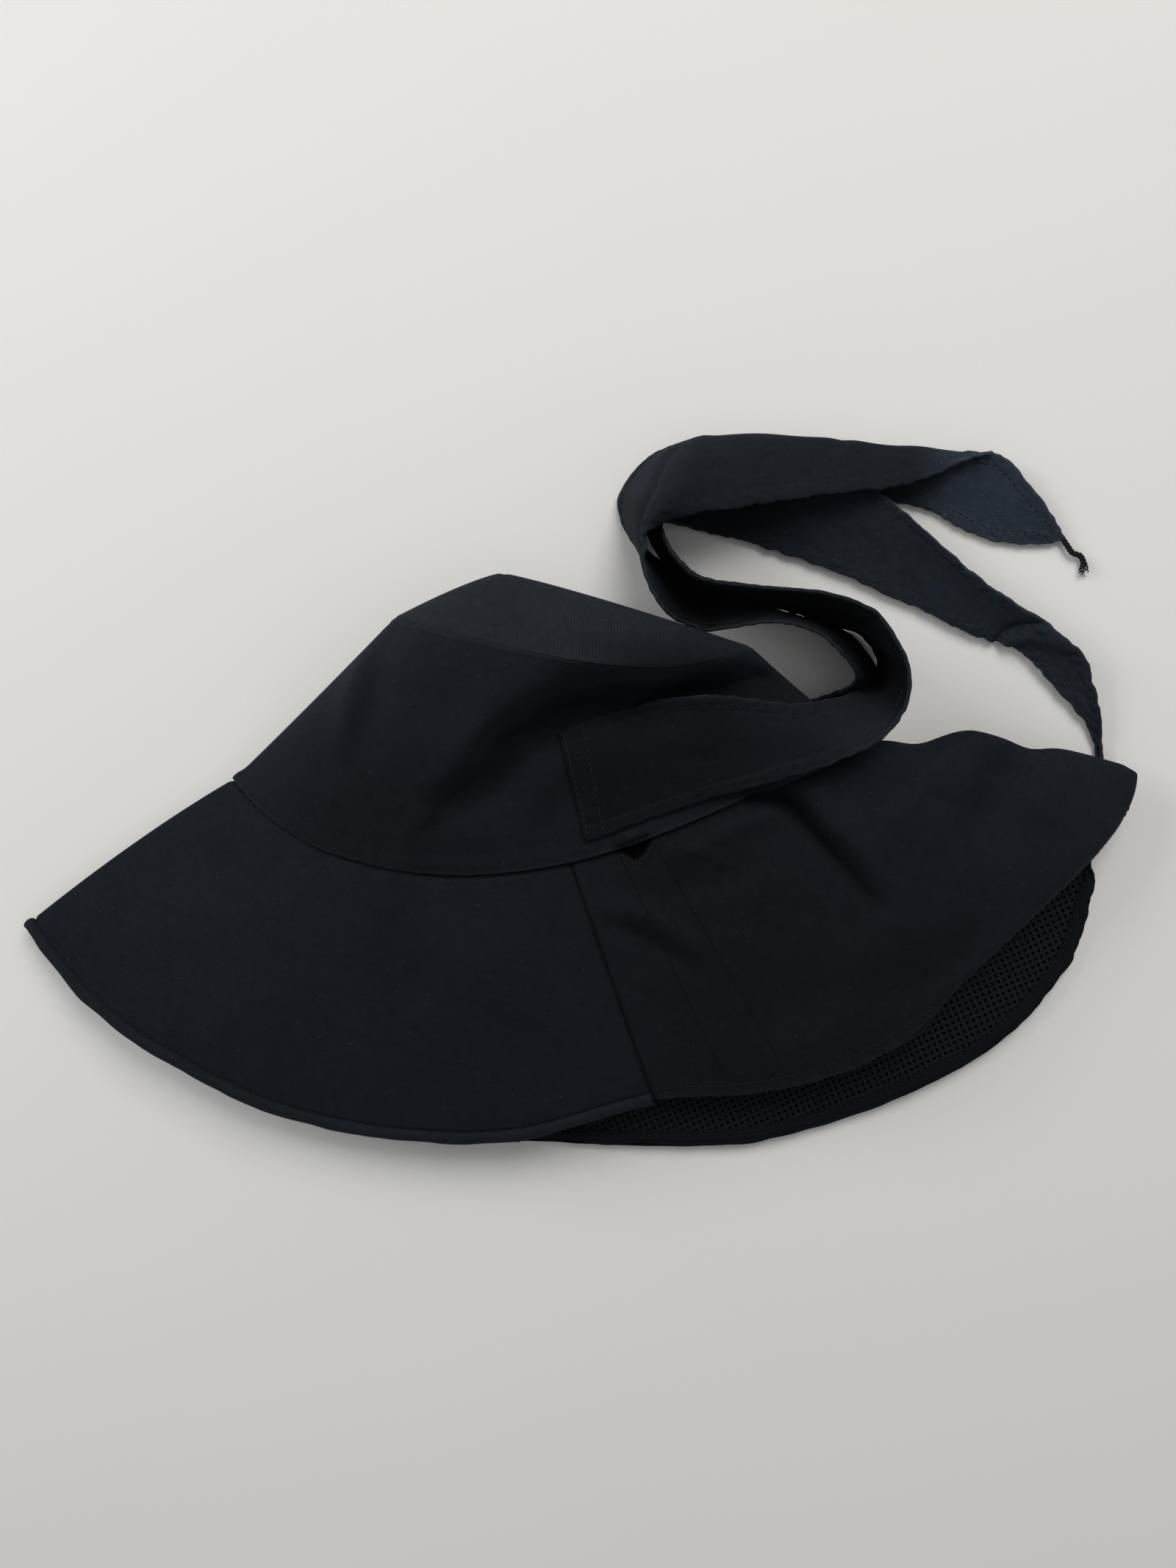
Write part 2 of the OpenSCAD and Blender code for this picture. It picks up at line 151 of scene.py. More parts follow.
def makeCloth(name="twillCloth", shade=1.0):  # grain runs along and across the cloth in millimetres
    look = clothLook
    s = Shader(name)
    grain = s.attribute("grain")
    parts = s.add("ShaderNodeSeparateXYZ", {}, {0: grain})
    along = parts
    across = Link(s, parts.socket.node.outputs[1])
    place = s.add("ShaderNodeTexCoord", out="Object")
    wander = s.noise(grain, 0.11, 2.0) * 0.5
    rib = s.wave(along + across + wander, look["twill"])
    warp = s.wave(along, look["yarn"])
    weft = s.wave(across, look["yarn"])
    yarns = warp * 0.5 + weft * 0.5
    cloudy = s.noise(place, 28.0, 4.0, 0.55)
    stretched = s.add("ShaderNodeVectorMath", {"operation": "MULTIPLY"}, {0: grain, 1: (0.25, 2.2, 1.0)})
    slubs = s.noise(stretched, 0.55, 2.0)
    fuzz = s.noise(place, 2600.0, 2.0, 0.6)
    worn = s.attribute("wear", "Fac")
    mottle = s.noise(place, 260.0, 3.0, 0.65)
    tone = rib * 0.28 + yarns * 0.16 + cloudy * 0.42 + slubs * 0.38 + mottle * 0.50 - 0.32
    tone = (tone - 0.5) * 1.35 + 0.5
    color = s.mix(tone, look["dark"], look["light"])
    color = s.mix(worn * (0.35 + fuzz * 0.5), color, look["worn"])
    lint = (s.noise(place, 900.0, 1.0, 0.5) > 0.765) * 0.35
    color = s.mix(lint, color, look["lint"])
    # painted light and shade: inside above 0 darkens the colour as painted shade, below 0 lightens it as
    # painted light; shade scales the whole copy's brightness
    depth = shade * (1 - s.attribute("inside", "Fac") * look["deepest"])
    grey = s.add("ShaderNodeCombineColor", {}, {0: depth, 1: depth, 2: depth})
    color = s.mix(1.0, color, grey, "MULTIPLY")
    height = rib * 0.45 + yarns * 0.25 + fuzz * 0.35 + slubs * 0.3
    bump = s.add("ShaderNodeBump", {}, {"Strength": 0.75, "Distance": look["bump"], "Height": height})
    rough = look["roughness"] + (cloudy - 0.5) * 0.14 - worn * 0.08
    return s.finish(s.add("ShaderNodeBsdfPrincipled", {}, {
        "Base Color": color, "Roughness": rough, "Normal": bump,
        "Specular IOR Level": look["specular"], "Sheen Weight": look["sheen"],
        "Sheen Roughness": 0.45, "Sheen Tint": look["sheenTint"]}))


netLook = {"dark": rgb(0.0030, 0.0046, 0.0064), "light": rgb(0.0096, 0.0134, 0.0172)}


def makeNet():
    s = Shader("openMeshNet")
    place = s.add("ShaderNodeTexCoord", out="Object")
    strands = s.noise(place, 1500.0, 2.0, 0.6)
    cloudy = s.noise(place, 35.0, 3.0)
    tone = strands * 0.55 + cloudy * 0.4
    color = s.mix(tone, netLook["dark"], netLook["light"])
    bump = s.add("ShaderNodeBump", {}, {"Strength": 0.8, "Distance": 0.00015, "Height": strands})
    return s.finish(s.add("ShaderNodeBsdfPrincipled", {}, {
        "Base Color": color, "Roughness": 0.62 + cloudy * 0.15, "Normal": bump,
        "Specular IOR Level": 0.12, "Sheen Weight": 0.02, "Sheen Roughness": 0.5}))


def makeThread():
    s = Shader("sewingThread")
    place = s.add("ShaderNodeTexCoord", out="Object")
    ply = s.noise(place, 3200.0, 2.0, 0.7)
    color = s.mix(ply, rgb(0.0032, 0.0042, 0.0058), rgb(0.0108, 0.0132, 0.0166))
    bump = s.add("ShaderNodeBump", {}, {"Strength": 0.6, "Distance": 0.00006, "Height": ply})
    return s.finish(s.add("ShaderNodeBsdfPrincipled", {}, {
        "Base Color": color, "Roughness": 0.55 + ply * 0.15, "Normal": bump,
        "Specular IOR Level": 0.18, "Sheen Weight": 0.02}))


def makeElastic():
    s = Shader("ribbedElastic")
    grain = s.attribute("grain")
    parts = s.add("ShaderNodeSeparateXYZ", {}, {0: grain})
    ribs = s.wave(parts, 1.1)
    place = s.add("ShaderNodeTexCoord", out="Object")
    fuzz = s.noise(place, 1800.0, 2.0)
    color = s.mix(ribs * 0.6 + fuzz * 0.3, rgb(0.006, 0.007, 0.009), rgb(0.02, 0.022, 0.026))
    bump = s.add("ShaderNodeBump", {}, {"Strength": 0.9, "Distance": 0.0003, "Height": ribs + fuzz * 0.3})
    return s.finish(s.add("ShaderNodeBsdfPrincipled", {}, {
        "Base Color": color, "Roughness": 0.7 + fuzz * 0.1, "Normal": bump, "Specular IOR Level": 0.25}))


def makeLabel():
    s = Shader("blankSatinTape")
    grain = s.attribute("grain")
    parts = s.add("ShaderNodeSeparateXYZ", {}, {0: grain})
    satin = s.wave(parts, 0.6)
    place = s.add("ShaderNodeTexCoord", out="Object")
    cloudy = s.noise(place, 90.0, 3.0)
    color = s.mix(cloudy * 0.6 + satin * 0.3, rgb(0.022, 0.023, 0.027), rgb(0.045, 0.047, 0.052))
    bump = s.add("ShaderNodeBump", {}, {"Strength": 0.5, "Distance": 0.00008, "Height": satin})
    return s.finish(s.add("ShaderNodeBsdfPrincipled", {}, {
        "Base Color": color, "Roughness": 0.38 + cloudy * 0.12, "Normal": bump, "Specular IOR Level": 0.5}))


def makeWire():
    s = Shader("coatedWire")
    place = s.add("ShaderNodeTexCoord", out="Object")
    scuffs = s.noise(place, 420.0, 4.0, 0.6)
    color = s.mix(scuffs, rgb(0.006, 0.007, 0.009), rgb(0.014, 0.015, 0.018))
    bump = s.add("ShaderNodeBump", {}, {"Strength": 0.4, "Distance": 0.0001, "Height": scuffs})
    return s.finish(s.add("ShaderNodeBsdfPrincipled", {}, {
        "Base Color": color, "Roughness": 0.6 + scuffs * 0.2, "Normal": bump, "Specular IOR Level": 0.25}))


# the table top's two colours, mixed in broad cloudy patches; the darker one is painted shade, though the
# noise, not the place on the table, decides where it falls
floorLook = {"top": rgb(0.885, 0.865, 0.825), "shadedTone": rgb(0.855, 0.83, 0.785)}


def makeFloor():
    s = Shader("paleTableTop")
    place = s.add("ShaderNodeTexCoord", out="Object")
    cloudy = s.noise(place, 3.0, 3.0)
    fibre = s.noise(place, 900.0, 3.0, 0.6)
    color = s.mix(cloudy, floorLook["top"], floorLook["shadedTone"])
    color = s.mix(fibre * 0.16, color, rgb(0.66, 0.65, 0.62))
    bump = s.add("ShaderNodeBump", {}, {"Strength": 0.15, "Distance": 0.0002, "Height": fibre})
    return s.finish(s.add("ShaderNodeBsdfPrincipled", {}, {
        "Base Color": color, "Roughness": 0.72 + fibre * 0.1, "Normal": bump, "Specular IOR Level": 0.25}))


cloth = makeCloth()
# the hat's own twill made 14 per cent brighter for the ties: painted light
tieClothPaintedLight = makeCloth("tieClothPaintedLight", 1.14)
# the same twill at 0.55 of its brightness for the back hem: painted shade
hemClothPaintedShade = makeCloth("hemTwillPaintedShade", 0.55)
net = makeNet()
thread = makeThread()
print("materials made")


def smooth(a, b, c, d, f):  # curve through b and c that heads for a and d
    f = f[:, None]
    return b + f / 2 * (c - a + f * (2 * a - 5 * b + 4 * c - d + f * (3 * b - a - 3 * c + d)))


def ringAt(ring, u):  # place on a closed ring, u from 0 to 1 once round
    n = len(ring)
    t = (u - np.floor(u)) * n
    i = np.floor(t).astype(int) % n
    return smooth(ring[(i - 1) % n], ring[i], ring[(i + 1) % n], ring[(i + 2) % n], t - np.floor(t))


def lineAt(line, t):  # place on an open line, t from 0 to 1
    last = len(line) - 1
    padded = np.vstack([2 * line[0] - line[1], line, 2 * line[-1] - line[-2]])
    s = np.clip(t, 0, 1) * last
    i = np.minimum(np.floor(s).astype(int), last - 1)
    return smooth(padded[i], padded[i + 1], padded[i + 2], padded[i + 3], s - i)


def three(a, b, c, t):  # curve through three places at 0, a half and 1
    t = t[:, None]
    return a * (1 - t) * (1 - 2 * t) + b * 4 * t * (1 - t) + c * t * (2 * t - 1)


def bell(x, at, wide):  # smooth hill, 1 at its middle
    return np.exp(-((x - at) / wide) ** 2)


def bump(u, at, half):  # rounded hill that ends at half on each side
    return np.maximum(0, 1 - ((u - at) / half) ** 2)


def ramp(x, low, high):  # smooth step from 0 to 1
    x = np.clip((x - low) / (high - low), 0, 1)
    return x * x * (3 - 2 * x)


def unit(v):
    return v / np.maximum(np.linalg.norm(v, axis=-1, keepdims=True), 1e-9)


def ripple(x, y, length, seed):  # gentle uneven waves, about -1 to 1, of about that length
    own = np.random.default_rng(seed)
    total = np.zeros_like(x)
    for k in range(6):
        turn = own.uniform(0, math.pi)
        pitch = length * own.uniform(0.7, 1.6)
        phase = own.uniform(0, 2 * math.pi)
        total += np.sin(2 * math.pi * (x * math.cos(turn) + y * math.sin(turn)) / pitch + phase)
    return total / 3.2


# rings run round the folded hat in drawn millimetres: upper layer first, from the front
# fold (u = 0) past the left seam to the back fold (u = 0.5), then back along the lower layer
hat = {
    "tipRing": np.array([
        [-72, 72, 36], [-62, 68, 50], [-46, 63, 60], [-25, 57, 67],
        [-2, 52, 71], [17, 50, 70], [34, 50, 66], [51, 54, 56],
        [66, 60, 38], [63, 61, 18], [47, 61, 6], [24, 62, 4],
        [0, 64, 4], [-25, 67, 4], [-48, 70, 4], [-66, 73, 14]], float),
    "crownRing": np.array([
        [-110, 37, 24], [-99, 29, 39], [-77, 21, 49], [-45, 16, 55],
        [-8, 20, 55], [20, 26, 51], [46, 33, 48], [72, 40, 40],
        [91, 42, 22], [84, 38, 5], [60, 25, 3], [28, 16, 3],
        [-4, 13, 3], [-40, 14, 3], [-76, 20, 3], [-102, 31, 8]], float),
    "headRing": np.array([
        [-143, 9, 9], [-125, -6, 20], [-95, -21, 30], [-50, -28, 37],
        [-4, -23, 40], [34, -11, 39], [68, 3, 35], [100, 15, 28],
        [117, 23, 15], [100, 5, 4], [68, -18, 3], [30, -32, 3],
        [-8, -39, 3], [-52, -38, 3], [-95, -28, 3], [-126, -10, 4]], float),
    "hemRing": np.array([
        [-230, -52, 7], [-203, -82, 13], [-168, -106, 16], [-128, -125, 17],
        [-82, -136, 17], [-28, -137, 18], [30, -122, 19], [76, -118, 20],
        [122, -103, 22], [157, -72, 23], [193, -39, 21], [222, -9, 17],
        [229, 13, 10], [212, -14, 4], [213, -42, 2], [200, -74, 2],
        [160, -111, 2], [75, -142, 2], [-25, -142, 2], [-75, -138, 2],
        [-122, -129, 2], [-160, -112, 2], [-192, -92, 2.3], [-217, -70, 3.5]], float),
    "leftSeam": 0.25, "rightSeam": 0.75,
    "brimSwell": 4.0, "backHump": (-14, 9, 8), "frontHump": (2, 4, 0), "humpWidth": 0.06,
    "tipCentre": (-28, 61, 34), "tipSwell": (-3, 29, -3), "tipPower": 1.15,
    "clothThick": 0.8, "meshThick": 0.6, "gap": 0.3,
    "curlFrom": 0.335, "curlTo": 0.585, "curlRadius": 5.0, "curlShare": 0.12, "curlTurn": 2.5,
}

# soft folds of the upper layer: points along the fold, its height (negative is a hollow)
# and the width of its two sides, left side first
folds = [
    {"line": [(74, 50), (56, 45), (38, 42), (18, 41), (2, 39), (-12, 33)], "depth": -17, "wide": (13, 5.5)},
    {"line": [(60, 52), (36, 46.5), (12, 45.5), (-4, 46)], "depth": -3.0, "wide": (2.6, 4)},
    {"line": [(34, 41.5), (16, 41), (-2, 42.5)], "depth": 2.2, "wide": (3, 3)},
    {"line": [(0, 41), (-14, 34), (-28, 24), (-38, 10), (-52, -2)], "depth": -12, "wide": (13, 5)},
    {"line": [(-18, 48), (-34, 34), (-46, 16), (-62, 4)], "depth": 2.0, "wide": (7, 9)},
    {"line": [(66, 3), (81, -2), (98, -18), (118, -42)], "depth": -8.5, "wide": (4.6, 3.0)},
    {"line": [(62, 3), (76, 4), (92, -4)], "depth": -3.5, "wide": (5, 5)},
    {"line": [(0, 60), (24, 58), (46, 56)], "depth": -5.0, "wide": (4, 9)},
    {"line": [(84, 4), (104, -12), (124, -34)], "depth": 2.6, "wide": (8, 8)},
    {"line": [(14, -48), (28, -55), (46, -68)], "depth": -3.4, "wide": (5, 4)},
    {"line": [(10, -40), (28, -45), (48, -58)], "depth": 1.6, "wide": (4, 5)},
    {"line": [(176, 28), (168, 8), (156, -12)], "depth": -5.0, "wide": (9, 9)},
    {"line": [(148, 32), (140, 12), (128, -6)], "depth": 2.4, "wide": (10, 10)},
    {"line": [(30, -34), (52, -30), (66, -24)], "depth": -2.0, "wide": (7, 7)},
    {"line": [(34, -21), (58, -11), (84, 0)], "depth": 1.7, "wide": (3, 4)},
    {"line": [(34, -17), (50, -20), (62, -26)], "depth": 1.0, "wide": (2.5, 2.5)},
    {"line": [(120, -75), (144, -66), (165, -50)], "depth": -3.2, "wide": (12, 10)},
    {"line": [(60, -105), (90, -98), (118, -84)], "depth": 2.0, "wide": (14, 12)},
    {"line": [(-74, -40), (-68, -62), (-58, -80)], "depth": -3.2, "wide": (14, 12)},
    {"line": [(-46, -82), (-30, -92), (-14, -100)], "depth": -3.4, "wide": (12, 12)},
    {"line": [(-24, -50), (-14, -76), (-2, -96)], "depth": 1.6, "wide": (12, 14)},
    {"line": [(-86, 62), (-88, 44), (-92, 24)], "depth": 3.0, "wide": (5, 6)},
    {"line": [(-74, 60), (-78, 40), (-84, 18)], "depth": -2.6, "wide": (6, 6)},
    {"line": [(-113, 45), (-112, 36)], "depth": 1.2, "wide": (3, 3)},
    {"line": [(-20, -12), (-6, 0), (-8, 20)], "depth": -1.8, "wide": (9, 9)},
    {"line": [(-64, -16), (-40, -4), (-22, 14)], "depth": 1.4, "wide": (8, 9)},
]


foldSteps = 28


def foldHeight(x, y):
    total = np.zeros_like(x)
    for fold in folds:
        line = np.array(fold["line"], float)
        t = np.linspace(0, 1, foldSteps)
        path = lineAt(np.c_[line, np.zeros(len(line))], t)[:, :2]
        ahead = unit(np.gradient(path, axis=0))
        step = np.linalg.norm(np.diff(path, axis=0), axis=1).mean()
        dx, dy = x[:, None] - path[:, 0], y[:, None] - path[:, 1]
        near = np.argmin(dx ** 2 + dy ** 2, axis=1)
        row = np.arange(len(x))
        dx, dy = dx[row, near], dy[row, near]
        side = ahead[near, 0] * dy - ahead[near, 1] * dx
        along = ahead[near, 0] * dx + ahead[near, 1] * dy
        past = ((near == 0) & (along < 0)) | ((near == len(t) - 1) & (along > 0))
        at = np.clip((near + along / step) / (len(t) - 1), 0, 1)
        strength = np.sin(np.pi * (at * 0.86 + 0.07)) ** 0.7
        blend = ramp(side, -2.0, 2.0)
        wide = fold["wide"][1] * (1 - blend) + fold["wide"][0] * blend
        away = side ** 2 + np.where(past, along ** 2, 0)
        total += fold["depth"] * strength * np.exp(-away / wide ** 2)
    return total


def bandAt(u, v):
    return three(ringAt(hat["tipRing"], u), ringAt(hat["crownRing"], u), ringAt(hat["headRing"], u), v)


def flatBrimAt(u, v):
    head, hem = ringAt(hat["headRing"], u), ringAt(hat["hemRing"], u)
    w = u - np.floor(u)
    rise = np.where(w < 0.5, hat["brimSwell"] * np.sin(2 * np.pi * w), 0)
    mid = (head + hem) / 2
    mid[:, 2] += rise
    fromFront = np.where(w < 0.5, w, w - 1)
    mid += bump(w, 0.5, hat["humpWidth"])[:, None] * np.array(hat["backHump"], float)
    mid += bump(fromFront, 0, hat["humpWidth"])[:, None] * np.array(hat["frontHump"], float)
    return three(head, mid, hem, v)


def curlAt(u):  # how far the brim's edge is curled under, 0 to 1
    w = u - np.floor(u)
    begun = ramp(w, hat["curlFrom"], hat["curlFrom"] + 0.055)
    ended = ramp(w, hat["curlTo"] - 0.04, hat["curlTo"])
    return begun * (1 - ended) * (1 - 0.85 * bump(w, 0.502, 0.04))


def brimAt(u, v):  # the flat brim with its back edge curled under
    curl = curlAt(u)
    share = hat["curlShare"] * curl
    radius = hat["curlRadius"] * curl
    edge, inner = flatBrimAt(u, np.ones_like(u)), flatBrimAt(u, np.full_like(u, 0.9))
    out = edge - inner
    width = np.linalg.norm(out, axis=1) * 10
    out = unit(out)
    along = flatBrimAt(u + 0.003, np.full_like(u, 0.95)) - flatBrimAt(u - 0.003, np.full_like(u, 0.95))
    inward = -unit(np.cross(out, along))
    rolled = share > 1e-6
    reach = 1 - radius / np.maximum(width, 1)
    main = np.where(rolled, np.clip(v / (1 - share), 0, 1) * reach, v)
    curled = np.clip((v - (1 - share)) / np.maximum(share, 1e-6), 0, 1)
    turn = np.where(rolled, curled, 0) * hat["curlTurn"] * curl
    return flatBrimAt(u, main) + (np.sin(turn) * radius)[:, None] * out \
        + ((1 - np.cos(turn)) * radius)[:, None] * inward


def tipAt(u, r):
    ring, centre = ringAt(hat["tipRing"], u), np.array(hat["tipCentre"], float)
    swell = np.array(hat["tipSwell"], float) * (1 - r ** hat["tipPower"])[:, None]
    return centre + (ring - centre) * r[:, None] + swell


plainSurface = {"band": bandAt, "brim": brimAt, "tip": tipAt}


def surfaceAt(kind, u, v):  # on each piece v goes from 0 to 1, away from the middle of the tip
    point = plainSurface[kind](u, v)
    w = u - np.floor(u)
    upper = ramp(w, 0.0, 0.05) * (1 - ramp(w, 0.46, 0.5)) * (w < 0.5)
    x, y = point[:, 0], point[:, 1]
    lift = foldHeight(x, y) + 0.42 * ripple(x, y, 46, 3) + 0.16 * ripple(x, y, 17, 5)
    if kind == "tip":
        upper = upper * ramp(v, 0.25, 1.0)
        lift = lift * 0.6
    point[:, 2] += lift * upper
    if kind == "brim":  # the top outline of the back brim dips behind its hump
        dips = 1.2 * bell(x, 158, 8) - 2.9 * bell(x, 182, 9) - 4.6 * bell(x, 136, 11)
        point[:, 1] += dips * bump(w, 0.5, 0.07)
        corner = bump(w, 0.5, 0.011) * ramp(v, 0.94, 1.0)  # the folded corner is rounded off
        point[:, 0] -= 1.4 * corner
        point[:, 1] -= 1.4 * corner
    lower = (w > 0.5) * ramp(w, 0.5, 0.55) * (1 - ramp(w, 0.95, 1.0))
    point[:, 2] += lower * 0.35 * (1 + ripple(x, y, 40, 9)) * (0.0 if kind == "tip" else 1.0)
    return point


def foldShade(kind, u, v):  # less light in the deep folds of the upper layer
    point = plainSurface[kind](u.ravel(), v.ravel())
    w = (u - np.floor(u)).ravel()
    upper = ramp(w, 0.0, 0.05) * (1 - ramp(w, 0.46, 0.5))
    deep = np.clip(-foldHeight(point[:, 0], point[:, 1]) / 15, -0.12, 1)
    return (0.62 * deep * upper).reshape(u.shape)


def normalAt(kind, u, v):
    stepU, stepV = 0.0025, 0.012
    across = surfaceAt(kind, u, v + stepV) - surfaceAt(kind, u, np.maximum(v - stepV, 1e-4))
    along = surfaceAt(kind, u + stepU, v) - surfaceAt(kind, u - stepU, v)
    return unit(np.cross(across, along))


def place(points):  # drawn millimetres to metres in the frame, nothing sinking through the table
    points = np.array(points, float)
    points[:, 2] = np.maximum(points[:, 2], restZ)
    return (points - middle) * mm


def meshPiece(name, points, faces, material, grain=None, wear=None, inside=None):
    mesh = bpy.data.meshes.new(name)
    mesh.from_pydata(points.tolist(), [], faces)
    mesh.update()
    if grain is not None:
        layer = mesh.attributes.new("grain", "FLOAT_VECTOR", "POINT")
        layer.data.foreach_set("vector", np.c_[grain, np.zeros(len(grain))].astype(np.float32).ravel())
    # inside carries painted shade (above 0) and painted light (below 0) into the cloth's colour
    for title, values in (("wear", wear), ("inside", inside)):
        values = np.zeros(len(points)) if values is None else values
        layer = mesh.attributes.new(title, "FLOAT", "POINT")
        layer.data.foreach_set("value", values.astype(np.float32))
    mesh.materials.append(material)
    mesh.shade_smooth()
    piece = bpy.data.objects.new(name, mesh)
    bpy.context.scene.collection.objects.link(piece)
    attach(piece, "root")
    return piece


def standFor(piece, node):
    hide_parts(node)
    return piece


def gridFaces(rows, cols, wrap, start=0, flip=False):
    faces = []
    spans = cols if wrap else cols - 1
    for r in range(rows - 1):
        for c in range(spans):
            a, b = start + r * cols + c, start + r * cols + (c + 1) % cols
            quad = (a, b, b + cols, a + cols)
            faces.append(quad[::-1] if flip else quad)
    return faces


def clothShell(name, front, back, material, wrap=False, grain=None, wear=None, shadedInnerSide=True):
    # closed sheet of cloth between two grids of points; shadedInnerSide paints shade on its inner side
    rows, cols = front.shape[:2]
    n = rows * cols
    faces = gridFaces(rows, cols, wrap) + gridFaces(rows, cols, wrap, n, True)
    for c in range(cols if wrap else cols - 1):
        a, b = c, (c + 1) % cols
        d, e = (rows - 1) * cols + a, (rows - 1) * cols + b
        faces += [(b, a, n + a, n + b), (d, e, n + e, n + d)]
    if not wrap:
        for r in range(rows - 1):
            a, b = r * cols, r * cols + cols - 1
            faces += [(a, a + cols, n + a + cols, n + a), (b + cols, b, n + b, n + b + cols)]
    points = place(np.vstack([front.reshape(-1, 3), back.reshape(-1, 3)]))
    grain = None if grain is None else np.vstack([grain.reshape(-1, 2)] * 2)
    wear = None if wear is None else np.tile(wear.reshape(-1), 2)
    return meshPiece(name, points, faces, material, grain, wear, np.repeat([0.0, float(shadedInnerSide)], n))


def lengthsAlong(points, axis):  # running length of a grid of points
    steps = np.linalg.norm(np.diff(points, axis=axis), axis=-1)
    pad = [(0, 0), (0, 0)]
    pad[axis] = (1, 0)
    return np.pad(np.cumsum(steps, axis=axis), pad)


def panelGrid(kind, us, vs, offset):
    u, v = np.meshgrid(us, vs)
    uFlat, vFlat = u.ravel(), v.ravel()
    base = surfaceAt(kind, uFlat, vFlat)
    normal = normalAt(kind, uFlat, vFlat)
    off = offset(uFlat, vFlat) if callable(offset) else offset
    lifted = base + normal * (np.reshape(off, (-1, 1)) if np.ndim(off) else off)
    return lifted.reshape(len(vs), len(us), 3)


def panelGrain(grid):
    middleRow = grid[len(grid) // 2][None]
    along = np.repeat(lengthsAlong(middleRow, 1), len(grid), axis=0)
    across = lengthsAlong(grid, 0)
    return np.stack([along, across], axis=-1)


def panel(name, node, kind, us, vs, out, thick, material, wrap=False, wear=None, dark=None):
    # out is the height of its face over the hat's surface, a number or a function of u and v
    front = panelGrid(kind, us, vs, out)
    inner = (lambda u, v: out(u, v) - thick) if callable(out) else out - thick
    back = panelGrid(kind, us, vs, inner)
    u, v = np.meshgrid(us, vs)
    worn = None if wear is None else wear(u, v)
    piece = clothShell(name, front, back, material, wrap, panelGrain(front), worn)
    if dark is not None:
        # dark is painted shade on the outer face, painted light where below 0; the inner face gets full
        # painted shade
        shaded = np.r_[dark(u, v).ravel(), np.ones(u.size)]
        piece.data.attributes["inside"].data.foreach_set("value", shaded.astype(np.float32))
    return standFor(piece, node)


faceOut = hat["clothThick"] / 2  # outer face of the cloth over the drawn surface
girth = 900  # a middling length once round, in millimetres, for waves along the edges
crown = {"around": 380, "tipRows": 60, "seamRows": 14, "tipSeam": 0.30, "seamWear": 0.5,
         "stitchAt": 0.034, "bandSeam": 0.34, "stitchGroove": 0.26, "tipSeamShade": 0.75}


def bandOffset(u, v):
    gathered = 0.13 * (1 - bump(u, 0.44, 0.14) ** 0.5) * bell(v, 0, 0.05)
    puckers = gathered * ripple(u * girth, v * 0, 4.2, 21)
    lowEdge = 1.0 * ramp(v, 0.90, 0.985) + 0.22 * bell(v, 1, 0.05) * ripple(u * girth, v * 0, 5.0, 22)
    slit = 0.9 * bump(u, 0.295, 0.014) * ramp(v, 0.93, 0.99)
    seam = crown["bandSeam"] * bell(v, 0.0, 0.010)
    groove = crown["stitchGroove"] * bell(v, crown["stitchAt"], 0.006)
    return faceOut - seam - groove + puckers + lowEdge + slit


# painted shade on the side band: the folds' shade, a broad patch round u 0.13, and a thin line along the
# tip seam's groove
def bandDark(u, v):
    seam = crown["tipSeamShade"] * bell(v, 0, 0.007)
    return foldShade("band", u, v) + 0.3 * bump(u, 0.13, 0.10) * ramp(v, 0.25, 0.7) + seam


def tipOffset(u, r):
    puckers = 0.2 * bell(r, 1, 0.06) * ripple(u * girth, r * 0, 4.2, 23)
    return faceOut - crown["tipSeam"] * bell(r, 1.0, 0.012) + puckers


def makeCrown():
    us = np.arange(crown["around"]) / crown["around"]
    rows = crown["seamRows"]
    vs = np.unique(np.r_[np.linspace(0, 0.08, rows), np.linspace(0.08, 0.93, 56),
                         np.linspace(0.93, 1.0, rows)])
    panel("sideBand", "side_band", "band", us, vs, bandOffset, hat["clothThick"], cloth, wrap=True,
          wear=lambda u, v: crown["seamWear"] * (bell(v, 0, 0.015) + bell(v, 1, 0.012)), dark=bandDark)
    rs = np.r_[np.linspace(0.03, 0.94, crown["tipRows"]), np.linspace(0.945, 0.998, rows)]
    front = panelGrid("tip", us, rs, tipOffset)
    back = panelGrid("tip", us, rs, lambda u, r: tipOffset(u, r) - hat["clothThick"])
    u, r = np.meshgrid(us, rs)
    # painted light over the whole tip, painted shade where it curves away near its right seam, and the
    # folds' painted shade; the inner face gets full painted shade, and of the two middle points the outer
    # gets painted light, the inner painted shade
    dark = foldShade("tip", u, r) - 0.5 + 1.35 * bump(u, 0.385, 0.13) * ramp(r, 0.66, 1.0)
    shaded = np.r_[dark.ravel(), np.ones(dark.size), -0.5, 1]
    closeTip("crownTip", "crown_tip", front, back, cloth, shaded)
    print("crown made")


def closeTip(name, node, front, back, material, dark=None):  # round panel, closed on its middle
    rows, spans = front.shape[:2]
    n = rows * spans
    faces = gridFaces(rows, spans, True) + gridFaces(rows, spans, True, n, True)
    top = np.vstack([front[0].mean(0), back[0].mean(0)])
    for c in range(spans):
        d = (c + 1) % spans
        faces += [(2 * n, d, c), (2 * n + 1, n + c, n + d)]
        a, b = (rows - 1) * spans + c, (rows - 1) * spans + d
        faces.append((a, b, n + b, n + a))
    points = np.vstack([front.reshape(-1, 3), back.reshape(-1, 3), top])
    grain = points[:, [0, 2]] * np.array([1.0, 0.8]) + points[:, [1, 1]] * np.array([0.0, 0.9])
    r = np.tile(np.repeat(np.linspace(0, 1, rows), spans), 2)
    wear = np.r_[bell(r, 1, 0.02) * 0.5, 0, 0]
    standFor(meshPiece(name, place(points), faces, material, grain, wear, dark), node)


makeCrown()


